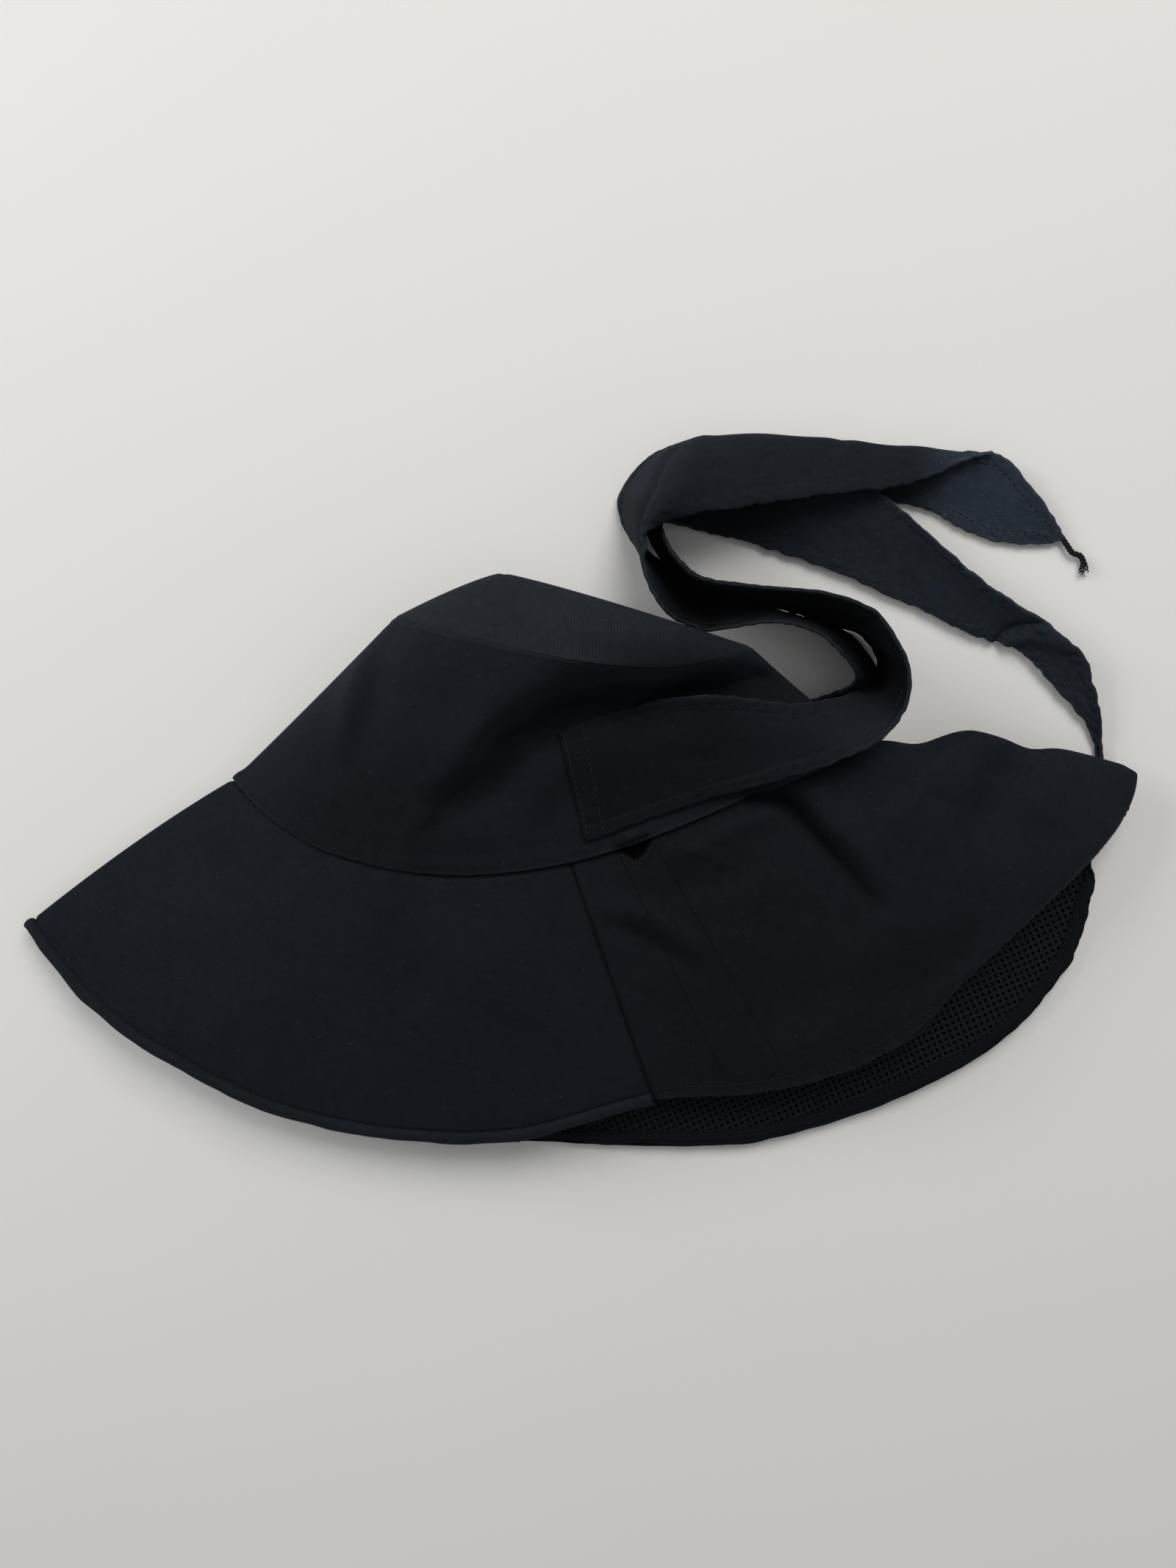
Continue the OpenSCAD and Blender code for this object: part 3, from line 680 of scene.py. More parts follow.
brim = {"frontAround": 300, "backAround": 360, "frontTo": 0.985, "edgeWear": 0.35,
        "seamDepth": 0.85, "sideSeamShade": 0.9, "slitDrop": 4.0, "slitShade": 1.35, "hemGrooveAt": 0.962}


def slitDepth(w):  # how far the slit gapes below the head seam, widest near its front end
    return 0.062 * ramp(w, 0.2775, 0.2865) * (1 - ramp(w, 0.2865, 0.305))


def slitShape(w, v):  # 1 within the gaping slit, 0 outside; it also masks the slit's painted shade
    depth = slitDepth(w)
    return (1 - ramp(v, np.maximum(depth - 0.010, 0), depth + 0.004)) * (depth > 0.006)


def seamDistance(w):
    return np.minimum(abs(w - hat["leftSeam"]), abs(w - hat["rightSeam"]))


def brimOffset(u, v):
    w = u - np.floor(u)
    isBack = (w > hat["leftSeam"]) * (w < hat["rightSeam"])
    gap = seamDistance(w)
    groove = -brim["seamDepth"] * bell(gap, 0, 0.0012) + 0.22 * bell(gap, 0.006, 0.004)
    tuckIn = -1.1 * bell(v, 0, 0.018)  # slips under the crown's edge
    gathered = 0.3 * bell(v, 0.02, 0.10) * ramp(w, 0.31, 0.36) * (1 - ramp(w, 0.66, 0.70))
    gathers = gathered * ripple(u * girth, v * 60, 13.0, 31)
    lip = 0.45 * bump(w, 0.293, 0.016) * bell(v - slitDepth(w), 0.014, 0.010)
    slit = -brim["slitDrop"] * slitShape(w, v) + lip
    loose = bell(v, 1, 0.07) * isBack * (1 - curlAt(u)) * 0.55 * (1 - bump(w, 0.5, 0.08))
    puckers = loose * ripple(u * 1250, v * 20, 7.0, 33)
    isFront = (w < hat["leftSeam"]) | (w > hat["rightSeam"])
    hemGroove = -0.75 * bell(v, brim["hemGrooveAt"], 0.0055) * isFront
    rolled = -1.5 * ramp(v, 0.988, 1.0) ** 2 * isBack
    return faceOut + groove + tuckIn + gathers + puckers + slit + rolled + hemGroove


# how the upper brim darkens and lightens round its back half, as it leans away from the light
brimTone = ([0.249, 0.251, 0.29, 0.35, 0.41, 0.46, 0.5, 0.52], [0, 0.22, 0.40, 0.34, 0.05, -0.35, -0.35, 0])


def brimDark(u, v):  # painted shade in the side seams' grooves and in the slit, where little light gets, plus the painted light and shade of brimTone and the folds
    w = u - np.floor(u)
    seam = bell(seamDistance(w), 0, 0.0007)
    inSeams = np.maximum(seam * brim["sideSeamShade"], brim["slitShade"] * slitShape(w, v))
    return inSeams + np.interp(w, *brimTone) * (v > 0) + foldShade("brim", u, v)


def spread(start, end, count):  # places round the brim, closer together beside the seams
    close = np.array([0.0003, 0.0006, 0.0010])
    us = np.linspace(start, end, count)
    return np.unique(np.r_[us, us[0] + close, us[-1] - close])


def makeBrim():
    vs = np.unique(np.r_[np.linspace(-0.02, 0.06, 16), np.linspace(0.06, 0.88, 66),
                         np.linspace(0.88, brim["frontTo"], 24), np.linspace(brim["frontTo"], 1.0, 7)])
    frontU = spread(hat["rightSeam"] - 1, hat["leftSeam"], brim["frontAround"])
    backU = spread(hat["leftSeam"], hat["rightSeam"], brim["backAround"])
    for name, node, us, rows in (("frontBrim", "front_brim", frontU, vs[vs <= brim["frontTo"]]),
                                 ("backBrim", "back_brim", backU, vs)):
        panel(name, node, "brim", us, rows, brimOffset, hat["clothThick"], cloth,
              wear=lambda u, v: brim["edgeWear"] * bell(v, 1, 0.03), dark=brimDark)
    inner = -faceOut - hat["gap"]
    panel("frontBrimLining", "front_brim_lining", "brim", frontU[::2], np.linspace(0.0, 0.97, 50),
          lambda u, v: brimOffset(u, v) * 0.5 - 0.2 + inner, hat["meshThick"], cloth)
    print("brim made")


makeBrim()

lining = {"out": -0.7, "thick": 0.6, "around": 200}
sweat = {"out": -1.6, "thick": 0.8, "from": 0.705, "to": 0.965, "wave": 0.25, "wear": 0.4}
elastic = {"out": -2.7, "thick": 0.8, "across": (0.38, 0.47), "down": (0.80, 0.93),
           "wave": 0.35, "pitch": 5.0}
label = {"out": -2.7, "thick": 0.4, "across": (0.56, 0.60), "down": (0.72, 0.90), "bow": 0.3}


def sweatOffset(u, v):
    return sweat["out"] + sweat["wave"] * ripple(u * girth, v * 40, 16, 41)


def elasticOffset(u, v):  # gathered by its own pull
    return elastic["out"] + elastic["wave"] * np.sin(u * girth * 2 * math.pi / elastic["pitch"])


def labelOffset(u, v):
    return label["out"] + label["bow"] * np.sin((u - label["across"][0]) * 200)


def makeLinings():
    us = np.arange(lining["around"]) / lining["around"]
    panel("bandMeshLining", "band_mesh_lining", "band", us, np.linspace(0.06, 0.96, 46),
          lining["out"], lining["thick"], net, wrap=True)
    rs = np.linspace(0.04, 0.95, 34)
    closeTip("tipLining", "tip_lining", panelGrid("tip", us, rs, lining["out"]),
             panelGrid("tip", us, rs, lining["out"] - lining["thick"]), net)
    panel("sweatBand", "sweatband", "band", us, np.linspace(sweat["from"], sweat["to"], 20),
          sweatOffset, sweat["thick"], cloth, wrap=True,
          wear=lambda u, v: sweat["wear"] * bell(v, sweat["from"], 0.02))
    panel("backElastic", "back_elastic", "band", np.linspace(*elastic["across"], 90),
          np.linspace(*elastic["down"], 12), elasticOffset, elastic["thick"], makeElastic())
    panel("careLabel", "care_label", "band", np.linspace(*label["across"], 24),
          np.linspace(*label["down"], 24), labelOffset, label["thick"], makeLabel())
    print("linings made")


makeLinings()


# pitch, out, thick and knot in millimetres; hole is its share of the pitch
netting = {"pitch": 2.65, "turn": 24.0, "hole": 0.52, "out": -1.35, "thick": 0.6, "knot": 0.16,
           "foldShare": 0.035, "foldRound": 420, "foldWidth": 105.0, "under": (150, 60)}


def lattice(countA, countB, mapped):
    # square net with real holes; mapped gives outer and inner points (or nan) for grid places
    hole = netting["hole"]
    a = np.concatenate([[i, i + 1 - hole] for i in range(countA)])
    b = np.concatenate([[i, i + 1 - hole] for i in range(countB)])
    placeA, placeB = np.meshgrid(a, b)
    outer, inner = mapped(placeA.ravel(), placeB.ravel())
    good = ~np.isnan(outer[:, 0]).reshape(placeA.shape)
    cols, n = len(a), placeA.size
    solid = good[:-1, :-1] & good[:-1, 1:] & good[1:, :-1] & good[1:, 1:]
    solid[1::2, 1::2] = False  # the holes
    faces = []
    for r, c in zip(*np.nonzero(solid)):
        p = r * cols + c
        q = (p, p + 1, p + cols + 1, p + cols)
        faces.append(q)
        faces.append(tuple(n + k for k in q[::-1]))
        for dr, dc, e, f in ((-1, 0, p, p + 1), (1, 0, p + cols + 1, p + cols), (0, -1, p + cols, p),
                             (0, 1, p + 1, p + cols + 1)):
            rr, cc = r + dr, c + dc
            if not (0 <= rr < solid.shape[0] and 0 <= cc < solid.shape[1] and solid[rr, cc]):
                faces.append((f, e, n + e, n + f))
    return np.vstack([outer, inner]), faces


def dropLoose(points, faces):
    used = np.unique(np.concatenate([np.array(f) for f in faces]))
    new = np.full(len(points), -1)
    new[used] = np.arange(len(used))
    return points[used], [tuple(int(new[k]) for k in f) for f in faces]


def netOnto(u0, u1, fromAbove):
    # straight net lying in plan, dropped onto the brim between u0 and u1
    us, vs = np.linspace(u0, u1, netting["under"][0]), np.linspace(0.06, 0.965, netting["under"][1])
    base = panelGrid("brim", us, vs, netting["out"])
    tree = BVHTree.FromPolygons([tuple(p) for p in base.reshape(-1, 3)], gridFaces(len(vs), len(us), False))
    low, high = base.reshape(-1, 3).min(0), base.reshape(-1, 3).max(0)
    turn, pitch = math.radians(netting["turn"]), netting["pitch"]
    centre = (low + high) / 2
    reach = np.linalg.norm((high - low)[:2]) / 2
    count = int(2 * reach / pitch) + 2

    def mapped(a, b):
        s, t = (a - count / 2) * pitch, (b - count / 2) * pitch
        sway = 0.5 * ripple(s, t, 60, 51)
        s, t = s + sway, t + 0.5 * ripple(t, s, 55, 52)
        x = centre[0] + s * math.cos(turn) - t * math.sin(turn)
        y = centre[1] + s * math.sin(turn) + t * math.cos(turn)
        outer = np.full((len(x), 3), np.nan)
        inner = outer.copy()
        way = -1 if fromAbove else 1
        crossing = (np.abs(a - np.round(a)) < 0.01).astype(float)
        for k in range(len(x)):
            if not (low[0] < x[k] < high[0] and low[1] < y[k] < high[1]):
                continue
            hit, normal = tree.ray_cast((x[k], y[k], -50 if way > 0 else 120), (0, 0, way))[:2]
            if hit is None or abs(normal.z) < 0.25:
                continue
            point = np.array(hit)
            inward = np.array(normal) * (1 if normal.z * -way > 0 else -1)
            outer[k] = point + inward * (netting["knot"] * crossing[k])
            inner[k] = point - inward * netting["thick"]
        return outer, inner
    return lattice(count, count, mapped)


def makeNetLining():
    # lower side seen from above, upper side seen from below, and the strip round the back fold
    share, pitch = netting["foldShare"], netting["pitch"]
    foldRound, foldWidth = netting["foldRound"], netting["foldWidth"]
    pieces = [netOnto(0.5 + share * 0.4, hat["rightSeam"] - 0.002, True),
              netOnto(hat["leftSeam"] + 0.002, 0.5 - share * 0.4, False)]

    def mapped(a, b):
        u = 0.5 - share + a * pitch / foldRound
        v = 0.03 + b * pitch / foldWidth
        keep = (u < 0.5 + share) & (v < 0.90)
        normal = normalAt("brim", u, np.clip(v, 0, 0.97))
        base = surfaceAt("brim", u, np.clip(v, 0, 0.97))
        outer, inner = base + normal * netting["out"], base + normal * (netting["out"] - netting["thick"])
        outer[~keep] = np.nan
        return outer, inner
    pieces.append(lattice(int(share * 2 * foldRound / pitch), int(foldWidth / pitch), mapped))
    points, faces, start = [], [], 0
    for p, f in pieces:
        p, f = dropLoose(p, f)
        points.append(p)
        faces += [tuple(k + start for k in face) for face in f]
        start += len(p)
    piece = meshPiece("backBrimMesh", place(np.vstack(points)), faces, net)
    for polygon in piece.data.polygons:
        polygon.use_smooth = False
    standFor(piece, "back_brim_mesh_lining")
    print("net made", len(faces), "faces")


makeNetLining()


def sideFrame(path, up):  # sideways and upwards at each point of a path
    ahead = unit(np.gradient(path, axis=0))
    side = unit(np.cross(ahead, up))
    return side, np.cross(side, ahead)


def runOf(path):  # running length of a path
    return np.r_[0, np.cumsum(np.linalg.norm(np.diff(path, axis=0), axis=1))]


def tube(path, up, wide, high, sides=8, bulge=None):
    # oval bar along a path; bulge scales it by place and angle
    side, rise = sideFrame(path, up)
    angle = np.arange(sides) * 2 * math.pi / sides
    n = len(path)
    scale = np.ones((n, sides)) if bulge is None else bulge(np.arange(n), angle)
    ring = (side[:, None] * (np.cos(angle) * wide)[None, :, None] + rise[:, None]
            * (np.sin(angle) * high)[None, :, None]) * scale[..., None]
    points = (path[:, None] + ring).reshape(-1, 3)
    faces = []
    for i in range(n - 1):
        for k in range(sides):
            a, b = i * sides + k, i * sides + (k + 1) % sides
            faces.append((a, b, b + sides, a + sides))
    faces.append(tuple(range(sides - 1, -1, -1)))
    faces.append(tuple((n - 1) * sides + k for k in range(sides)))
    grain = np.c_[np.repeat(runOf(path), sides), np.tile(angle * (wide + high) / 2, n)]
    return points, faces, grain


def joined(parts):
    points, faces, grain, start = [], [], [], 0
    for p, f, g in parts:
        points.append(p)
        grain.append(g)
        faces += [tuple(k + start for k in face) for face in f]
        start += len(p)
    return np.vstack(points), faces, np.vstack(grain)


def readAt(at, length, values):
    return np.c_[[np.interp(at, length, values[:, k]) for k in range(3)]].T


# a stitch's own shape: places along its half length and their height over the cloth
stitch = {"along": np.array([-1, -0.6, 0, 0.6, 1]), "rise": np.array([-0.30, 0.02, 0.10, 0.02, -0.30]),
          "lean": 0.12}


def stitchRow(path, up, pitch, long, thick, seed):
    # separate sunken stitches, each a short bead
    own = np.random.default_rng(seed)
    length = runOf(path)
    at = np.arange(pitch / 2, length[-1], pitch)
    centres, ups = readAt(at, length, path), readAt(at, length, up)
    ahead = unit(np.gradient(centres, axis=0))
    side = unit(np.cross(ahead, ups))
    parts = []
    for centre, way, out, rise in zip(centres, ahead, side, ups):
        tilt = own.normal(0, stitch["lean"])
        half = (way + out * tilt) * long / 2 * own.uniform(0.9, 1.08)
        line = centre + stitch["along"][:, None] * half + stitch["rise"][:, None] * rise
        parts.append(tube(line, np.tile(rise, (len(line), 1)), thick, thick * 0.8, 6))
    return parts


def addPiece(name, node, parts, material, wear=0.0):
    points, faces, grain = joined(parts)
    standFor(meshPiece(name, place(points), faces, material, grain, np.full(len(points), wear)), node)


# half sizes of the hem bars, and how far in from the edge and below the surface they lie
frontHem = {"wide": 2.6, "high": 1.9, "in": 1.5, "down": 0.0, "groove": 0.0, "stitchAt": 0.962}
backHem = {"wide": 3.2, "high": 1.25, "in": 3.3, "down": -1.15, "groove": 0.34, "stitchAt": 0.945,
           "undersideAt": 0.958, "undersideDrop": 2.3, "foldAt": 0.505}


def hemTube(us, setup, seed, rippled):
    # the hem lies along the brim's own surface, a little in from its edge
    lastTenth = flatBrimAt(us, np.ones_like(us)) - flatBrimAt(us, np.full_like(us, 0.9))
    width = 10 * np.linalg.norm(lastTenth, axis=1)
    corner = bump(us, backHem["foldAt"], 0.05)  # pinched and tucked away where the back edge folds
    thin = 1 - 0.6 * corner
    length = us * width.mean() * 8
    calm = rippled * (1 - bump(us, backHem["foldAt"], 0.06))
    wave = ripple(length, length * 0, 11.0, seed) * calm
    shortWave = ripple(length, length * 0, 5.5, seed + 1) * calm
    v = 1 - (setup["in"] - 0.35 * wave + 3.0 * corner) / width
    normal = normalAt("brim", us, v)
    path = surfaceAt("brim", us, v) + normal * (setup["down"] - 0.5 * corner)[:, None]
    path[:, 2] = np.maximum(path[:, 2], setup["high"] * thin + 0.15)

    def bulge(i, angle):
        stitched = bell(np.abs(np.cos(angle)), 0.5, 0.16) * setup["groove"]
        sideways = 0.10 * wave[i][:, None] * np.cos(angle)[None] ** 2
        upwards = 0.12 * shortWave[i][:, None] * np.abs(np.sin(angle))[None]
        return thin[i][:, None] - stitched[None] + sideways + upwards
    return tube(path, normal, setup["wide"], setup["high"], 24, bulge)


def besideFold(us):  # which places of a row lie left of the back fold, and which right of it
    calm = np.abs(us - backHem["foldAt"]) > 0.03
    return [calm & side for side in (us < 0.5, us > 0.5) if (calm & side).any()]


def onFace(kind, us, vs, offset, lift):  # points a little over a panel's outer face, and their normals
    base, normal = surfaceAt(kind, us, vs), normalAt(kind, us, vs)
    return base + normal * (offset(us, vs) + lift)[:, None], normal


def hemRow(us, setup, seed):
    line, normal = onFace("brim", us, np.full_like(us, setup["stitchAt"]), brimOffset, 0.05)
    parts = []
    for stretch in besideFold(us):
        parts += stitchRow(line[stretch], normal[stretch], 2.9, 2.1, 0.24, seed)
    return parts


def makeHems():
    frontU = np.linspace(hat["rightSeam"] - 1 + 0.0004, hat["leftSeam"] - 0.0004, 420)
    backU = np.linspace(hat["leftSeam"] + 0.0015, hat["rightSeam"] - 0.0015, 520)
    addPiece("frontHem", "front_hem", [hemTube(frontU, frontHem, 61, 0.6)], cloth, 0.12)
    # the back hem takes the twill darkened as painted shade
    addPiece("backHem", "back_hem", [hemTube(backU, backHem, 63, 1.25)], hemClothPaintedShade, 0.08)
    parts = hemRow(frontU, frontHem, 65)
    addPiece("frontHemStitches", "front_hem_topstitch", parts, thread)
    parts = hemRow(backU, backHem, 66)
    for stretch in besideFold(backU):  # the same row shows on the mesh side, on the turned hem
        us = backU[stretch]
        vs = np.full_like(us, backHem["undersideAt"])
        low, out = surfaceAt("brim", us, vs), normalAt("brim", us, vs)
        parts += stitchRow(low - out * backHem["undersideDrop"], -out, 2.9, 2.1, 0.26, 71)
    addPiece("backHemStitches", "back_hem_topstitch", parts, thread)
    print("hems made")


sideSeam = {"sunk": 0.85, "wide": 0.9, "high": 0.42}


def makeSeams():
    for name, node, at in (("leftSideSeam", "left_side_seam", hat["leftSeam"]),
                           ("rightSideSeam", "right_side_seam", hat["rightSeam"])):
        vs = np.linspace(0.03, 0.955, 90)
        us = np.full_like(vs, at)
        line, normal = surfaceAt("brim", us, vs), normalAt("brim", us, vs)
        sunk = line - normal * sideSeam["sunk"]
        addPiece(name, node, [tube(sunk, normal, sideSeam["wide"], sideSeam["high"])], cloth)
    us = np.linspace(0.0015, 0.9985, 700)
    line, normal = onFace("band", us, np.full_like(us, crown["stitchAt"]), bandOffset, 0.03)
    addPiece("tipStitches", "tip_topstitch", stitchRow(line, normal, 2.6, 1.9, 0.22, 71), thread)
    print("seams made")


makeHems()
makeSeams()
wire = bpy.data.objects["brim_wire"]  # keeps its own mesh
wire.data.materials.clear()
wire.data.materials.append(makeWire())


# rim and base run along the two edges of a tie from its sewn end, middle along its middle; a crease
# goes from a place to a place (share of the length, share of the width), with a height and a width;
# lightAndShade paints shade (above 0) or light (below 0) on it along its length
leftTie = {
    "rim": [(2, -15, 43.5), (22, -8, 43), (46, 0, 42), (74, 8, 41), (97, 15, 42), (112, 22, 42),
            (122, 30, 42), (127, 41, 42), (127, 53, 41), (122, 64, 40), (116, 73, 39), (107, 78, 38),
            (93, 82, 38), (67, 84, 38), (48, 87, 38), (39, 94, 37), (34, 103, 31), (33, 111, 21),
            (36, 115, 11), (49, 113, 4), (71, 108, 3), (107, 96, 3), (135, 83, 3), (158, 72, 3),
            (172, 67, 3), (184, 63, 3), (195, 51, 3), (205, 40, 3), (213, 30, 2), (216, 19, 1),
            (216, 2, 1)],
    "base": [(-8, 26, 59.5), (16, 35, 59), (36, 40, 57.5), (56, 40, 52), (77, 38, 43), (93, 39, 31),
             (108, 43, 19), (119, 49, 7), (125, 59, 1), (118, 70, 1), (109, 73.2, 1), (98, 76.7, 1),
             (88, 79.8, 1), (66, 85.6, 1), (50, 89.5, 1), (40.5, 96, 1), (32, 105, 1), (26, 119, 1),
             (26, 131, 2), (38, 140, 4), (66, 143, 7), (103, 134, 9), (126, 126, 10), (148, 106, 12),
             (163, 92, 13), (188, 75, 13), (207, 62, 10), (213, 50, 7), (217, 37, 5), (219, 20, 3),
             (219, 2, 3)],
    "across": 16, "along": 620, "thick": 1.0, "seed": 81, "onCrown": True,
    "shadeFrom": (118, 140), "shadeTo": (250, 275),
    "lightAndShade": ([0, 0.06, 0.13, 0.19, 0.60, 0.66, 0.84, 1], [0.65, 0.58, 0.30, 0, 0, -0.8, -1.2, -0.4]),
    "creases": [((0.815, 0.0), (0.865, 1.0), 1.8, 1.6), ((0.832, 0.0), (0.882, 1.0), -1.4, 2.4),
                ((0.03, 0.75), (0.10, 0.35), 1.0, 2.5), ((0.02, 0.92), (0.075, 0.6), -0.7, 2.2)],
}
rightTie = {
    "rim": [(-8, 26, .6), (20, 36, .6), (50, 40, .6), (84, 41, 2), (103, 44, 12), (110, 49, 26),
            (104, 57, 35), (93, 66, 38), (78, 70, 38), (60, 69, 32), (50, 68, 30), (37, 72, 34),
            (30, 79, 37), (26, 87, 38), (24, 97, 38), (25, 104, 37), (34, 111, 34), (50, 115, 28),
            (69, 119, 24), (98, 124, 20), (125, 128, 16), (145, 134, 13), (165, 143, 9), (176, 143, 7),
            (191, 127, 5), (200, 115, 3), (203, 111, 2)],
    "middle": [(-3, 5, .6), (26, 14, .6), (58, 19, .6), (92, 25, 1), (112, 34, 5), (117, 50, 12),
               (110, 61, 18), (100, 70, 20), (84, 74, 20), (66, 77, 16), (54, 79, 15), (39, 83, 17),
               (31, 89, 19), (26, 97, 20), (23, 103, 20), (22, 111, 27), (29, 121, 34), (42, 138, 24),
               (58, 146, 18), (98, 149, 12), (127, 147, 9), (145, 146, 6), (162, 140, 4), (170, 128, 4),
               (184, 119, 4), (196, 112, 3), (202, 110, 2)],
    "base": [(2, -17, .6), (34, -8, .6), (68, -2, .6), (103, 8, .6), (120, 24, .6), (125, 50, 1),
             (117, 66, 1), (106, 73.3, 1), (92, 77.0, 1), (76, 82.0, 1), (59, 88.2, 1), (41, 94.5, 1),
             (33, 100.8, 1), (27, 106, 1), (22, 110, 1), (17, 119, 1), (17, 130, 1), (31, 145, 1),
             (58, 149, 2), (98, 141, 4), (124, 128, 3), (143, 123, 2), (157, 116, 2), (170, 110, 2),
             (183, 108, 2), (196, 108, 2), (202, 109, 2)],
    "across": 16, "along": 560, "thick": 1.0, "seed": 91, "onCrown": False,
    "shadeFrom": (118, 140), "shadeTo": (225, 250),
    "lightAndShade": ([0, 0.84, 0.88, 1], [0, 0, -2.6, -2.2]),
    "creases": [((0.535, 0.0), (0.632, 0.66), 1.6, 2.0), ((0.60, 0.1), (0.66, 0.7), -0.8, 4.0),
                ((0.74, 0.2), (0.80, 0.9), 0.7, 3.5)],
}
tieHem = {"wide": 5.2, "rise": 0.55, "groove": 0.42, "stitchAt": 5.0,
          "rootRows": (1.6, 8.6), "rootGroove": 0.22, "wear": 0.55, "stitchWear": 0.12}


def treeOf(*names):
    trees = []
    for name in names:
        data = bpy.data.objects[name].data
        corners, faces = [v.co[:] for v in data.vertices], [p.vertices[:] for p in data.polygons]
        trees.append(BVHTree.FromPolygons(corners, faces))
    return trees


def restingHeight(trees, x, y):  # height of the hat's top surface, drawn millimetres
    best = 0.0
    for tree in trees:
        hit = tree.ray_cast(((x - middle[0]) * mm, (y - middle[1]) * mm, 0.2), (0, 0, -1))[0]
        if hit is not None:
            best = max(best, hit[2] / mm)
    return best


def hugRoot(grid, run, thick):
    # the sewn end lies on the crown, then the tie lifts away
    trees = treeOf("sideBand", "backBrim")
    sewn = 1 - ramp(run, 24, 62)
    for r in range(grid.shape[0]):
        for c in range(grid.shape[1]):
            if sewn[r, c] > 0.001:
                low = restingHeight(trees, grid[r, c, 0], grid[r, c, 1]) + thick * 0.75
                z = grid[r, c, 2] * (1 - sewn[r, c]) + low * sewn[r, c]
                grid[r, c, 2] = max(z, low)
    return grid


def tieGrid(setup):
    # rows across the tie, columns along it
    t = np.linspace(0, 1, setup["along"])
    rim, base = lineAt(np.array(setup["rim"], float), t), lineAt(np.array(setup["base"], float), t)
    mid = lineAt(np.array(setup["middle"], float), t) if "middle" in setup else (rim + base) / 2
    across = np.unique(np.r_[np.linspace(0, 0.16, 8), np.linspace(0.16, 0.84, setup["across"]),
                             np.linspace(0.84, 1, 8)])
    return np.array([rim * (1 - s) * (1 - 2 * s) + mid * 4 * s * (1 - s) + base * s * (2 * s - 1)
                     for s in across])


def gridNormals(grid):
    return unit(np.cross(np.gradient(grid, axis=0), np.gradient(grid, axis=1)))


def creaseHeight(setup, run, over, width):  # run and over are lengths along and across the tie
    total = np.zeros_like(run)
    for start, end, height, wide in setup["creases"]:
        a, b = np.array(start) * [run[0, -1], 1], np.array(end) * [run[0, -1], 1]
        middling = np.interp((a[0] + b[0]) / 2, run[0], width[0])
        a[1], b[1] = a[1] * middling, b[1] * middling
        away = np.stack([run - a[0], over - a[1]], axis=-1)
        share = np.clip((away @ (b - a)) / ((b - a) @ (b - a)), 0, 1)
        gap = np.linalg.norm(away - share[..., None] * (b - a), axis=-1)
        total += height * bell(gap, 0, wide)
    return total


def makeTie(name, node, setup):
    grid = tieGrid(setup)
    seed, wide = setup["seed"], tieHem["wide"]
    along, over = lengthsAlong(grid, 1), lengthsAlong(grid, 0)
    width = over[-1][None]
    edge = np.minimum(over, width - over)
    run = along[len(along) // 2][None] + 0 * over
    # edges wander a little, as a hand-turned hem does
    outward = unit(grid[0] - grid[1]), unit(grid[-1] - grid[-2])
    wander = 0.5 * ripple(run[0], run[0] * 0, 16, seed) + 0.42 * ripple(run[0], run[0] * 0, 8, seed + 1) \
        + 0.16 * ripple(run[0], run[0] * 0, 4, seed + 7)
    away = np.where((over < width / 2)[..., None], outward[0][None], outward[1][None])
    grid = grid + bell(edge, 0, 3.0)[..., None] * away * wander[None, :, None]
    normal = gridNormals(grid)
    swell = 0.7 * ripple(run, over, 38, seed + 2) * bell(over / width, 0.5, 0.4)
    puckers = 0.34 * ripple(run, over * 2, 5.6, seed + 3) * bell(edge, wide * 0.7, 3.2)
    puckers += 0.22 * ripple(run * 2, over, 6.0, seed + 4) * bell(run, 9, 7)
    if setup["onCrown"]:
        swell = swell * ramp(run, 30, 90)
    swell = swell + creaseHeight(setup, run, over, width)
    grid = grid + normal * (swell + puckers)[..., None]
    grid[..., 2] = np.maximum(grid[..., 2], setup["thick"] * 0.85)
    if setup["onCrown"]:
        grid = hugRoot(grid, run, setup["thick"])
    normal = gridNormals(grid)
    raised = tieHem["rise"] * (1 - ramp(edge, wide - 0.4, wide + 0.4)) \
        - tieHem["groove"] * bell(edge, wide, 0.6)
    rounded = -0.25 * bell(edge, 0, 0.5)
    first, second = tieHem["rootRows"]
    sewn = -tieHem["rootGroove"] * (bell(run, second, 0.7) + bell(run, first, 0.6))
    half = np.maximum(setup["thick"] / 2 + raised * 0.6 + rounded + sewn, 0.15)[..., None]
    front, back = grid + normal * half, grid - normal * half
    grain = np.stack([run, over], axis=-1)
    wear = tieHem["wear"] * bell(edge, 0, 0.9) + tieHem["stitchWear"] * bell(edge, wide, 0.8)
    piece = clothShell(name, front, back, tieClothPaintedLight, False, grain, wear, False)
    # where the loops stand on edge, their facing sides get little light
    facing = ramp(run, *setup["shadeFrom"]) * (1 - ramp(run, *setup["shadeTo"]))
    shade = facing * (0.3 + 1.0 * ramp(edge, 0.3, 1.6)) + np.interp(run / run[0, -1], *setup["lightAndShade"])
    # painted shade on the loops' facing sides, and painted light and shade along the length, on both faces
    piece.data.attributes["inside"].data.foreach_set("value", np.tile(shade.ravel(), 2).astype(np.float32))
    standFor(piece, node)
    return {"grid": grid, "normal": normal, "half": half, "run": run, "over": over}


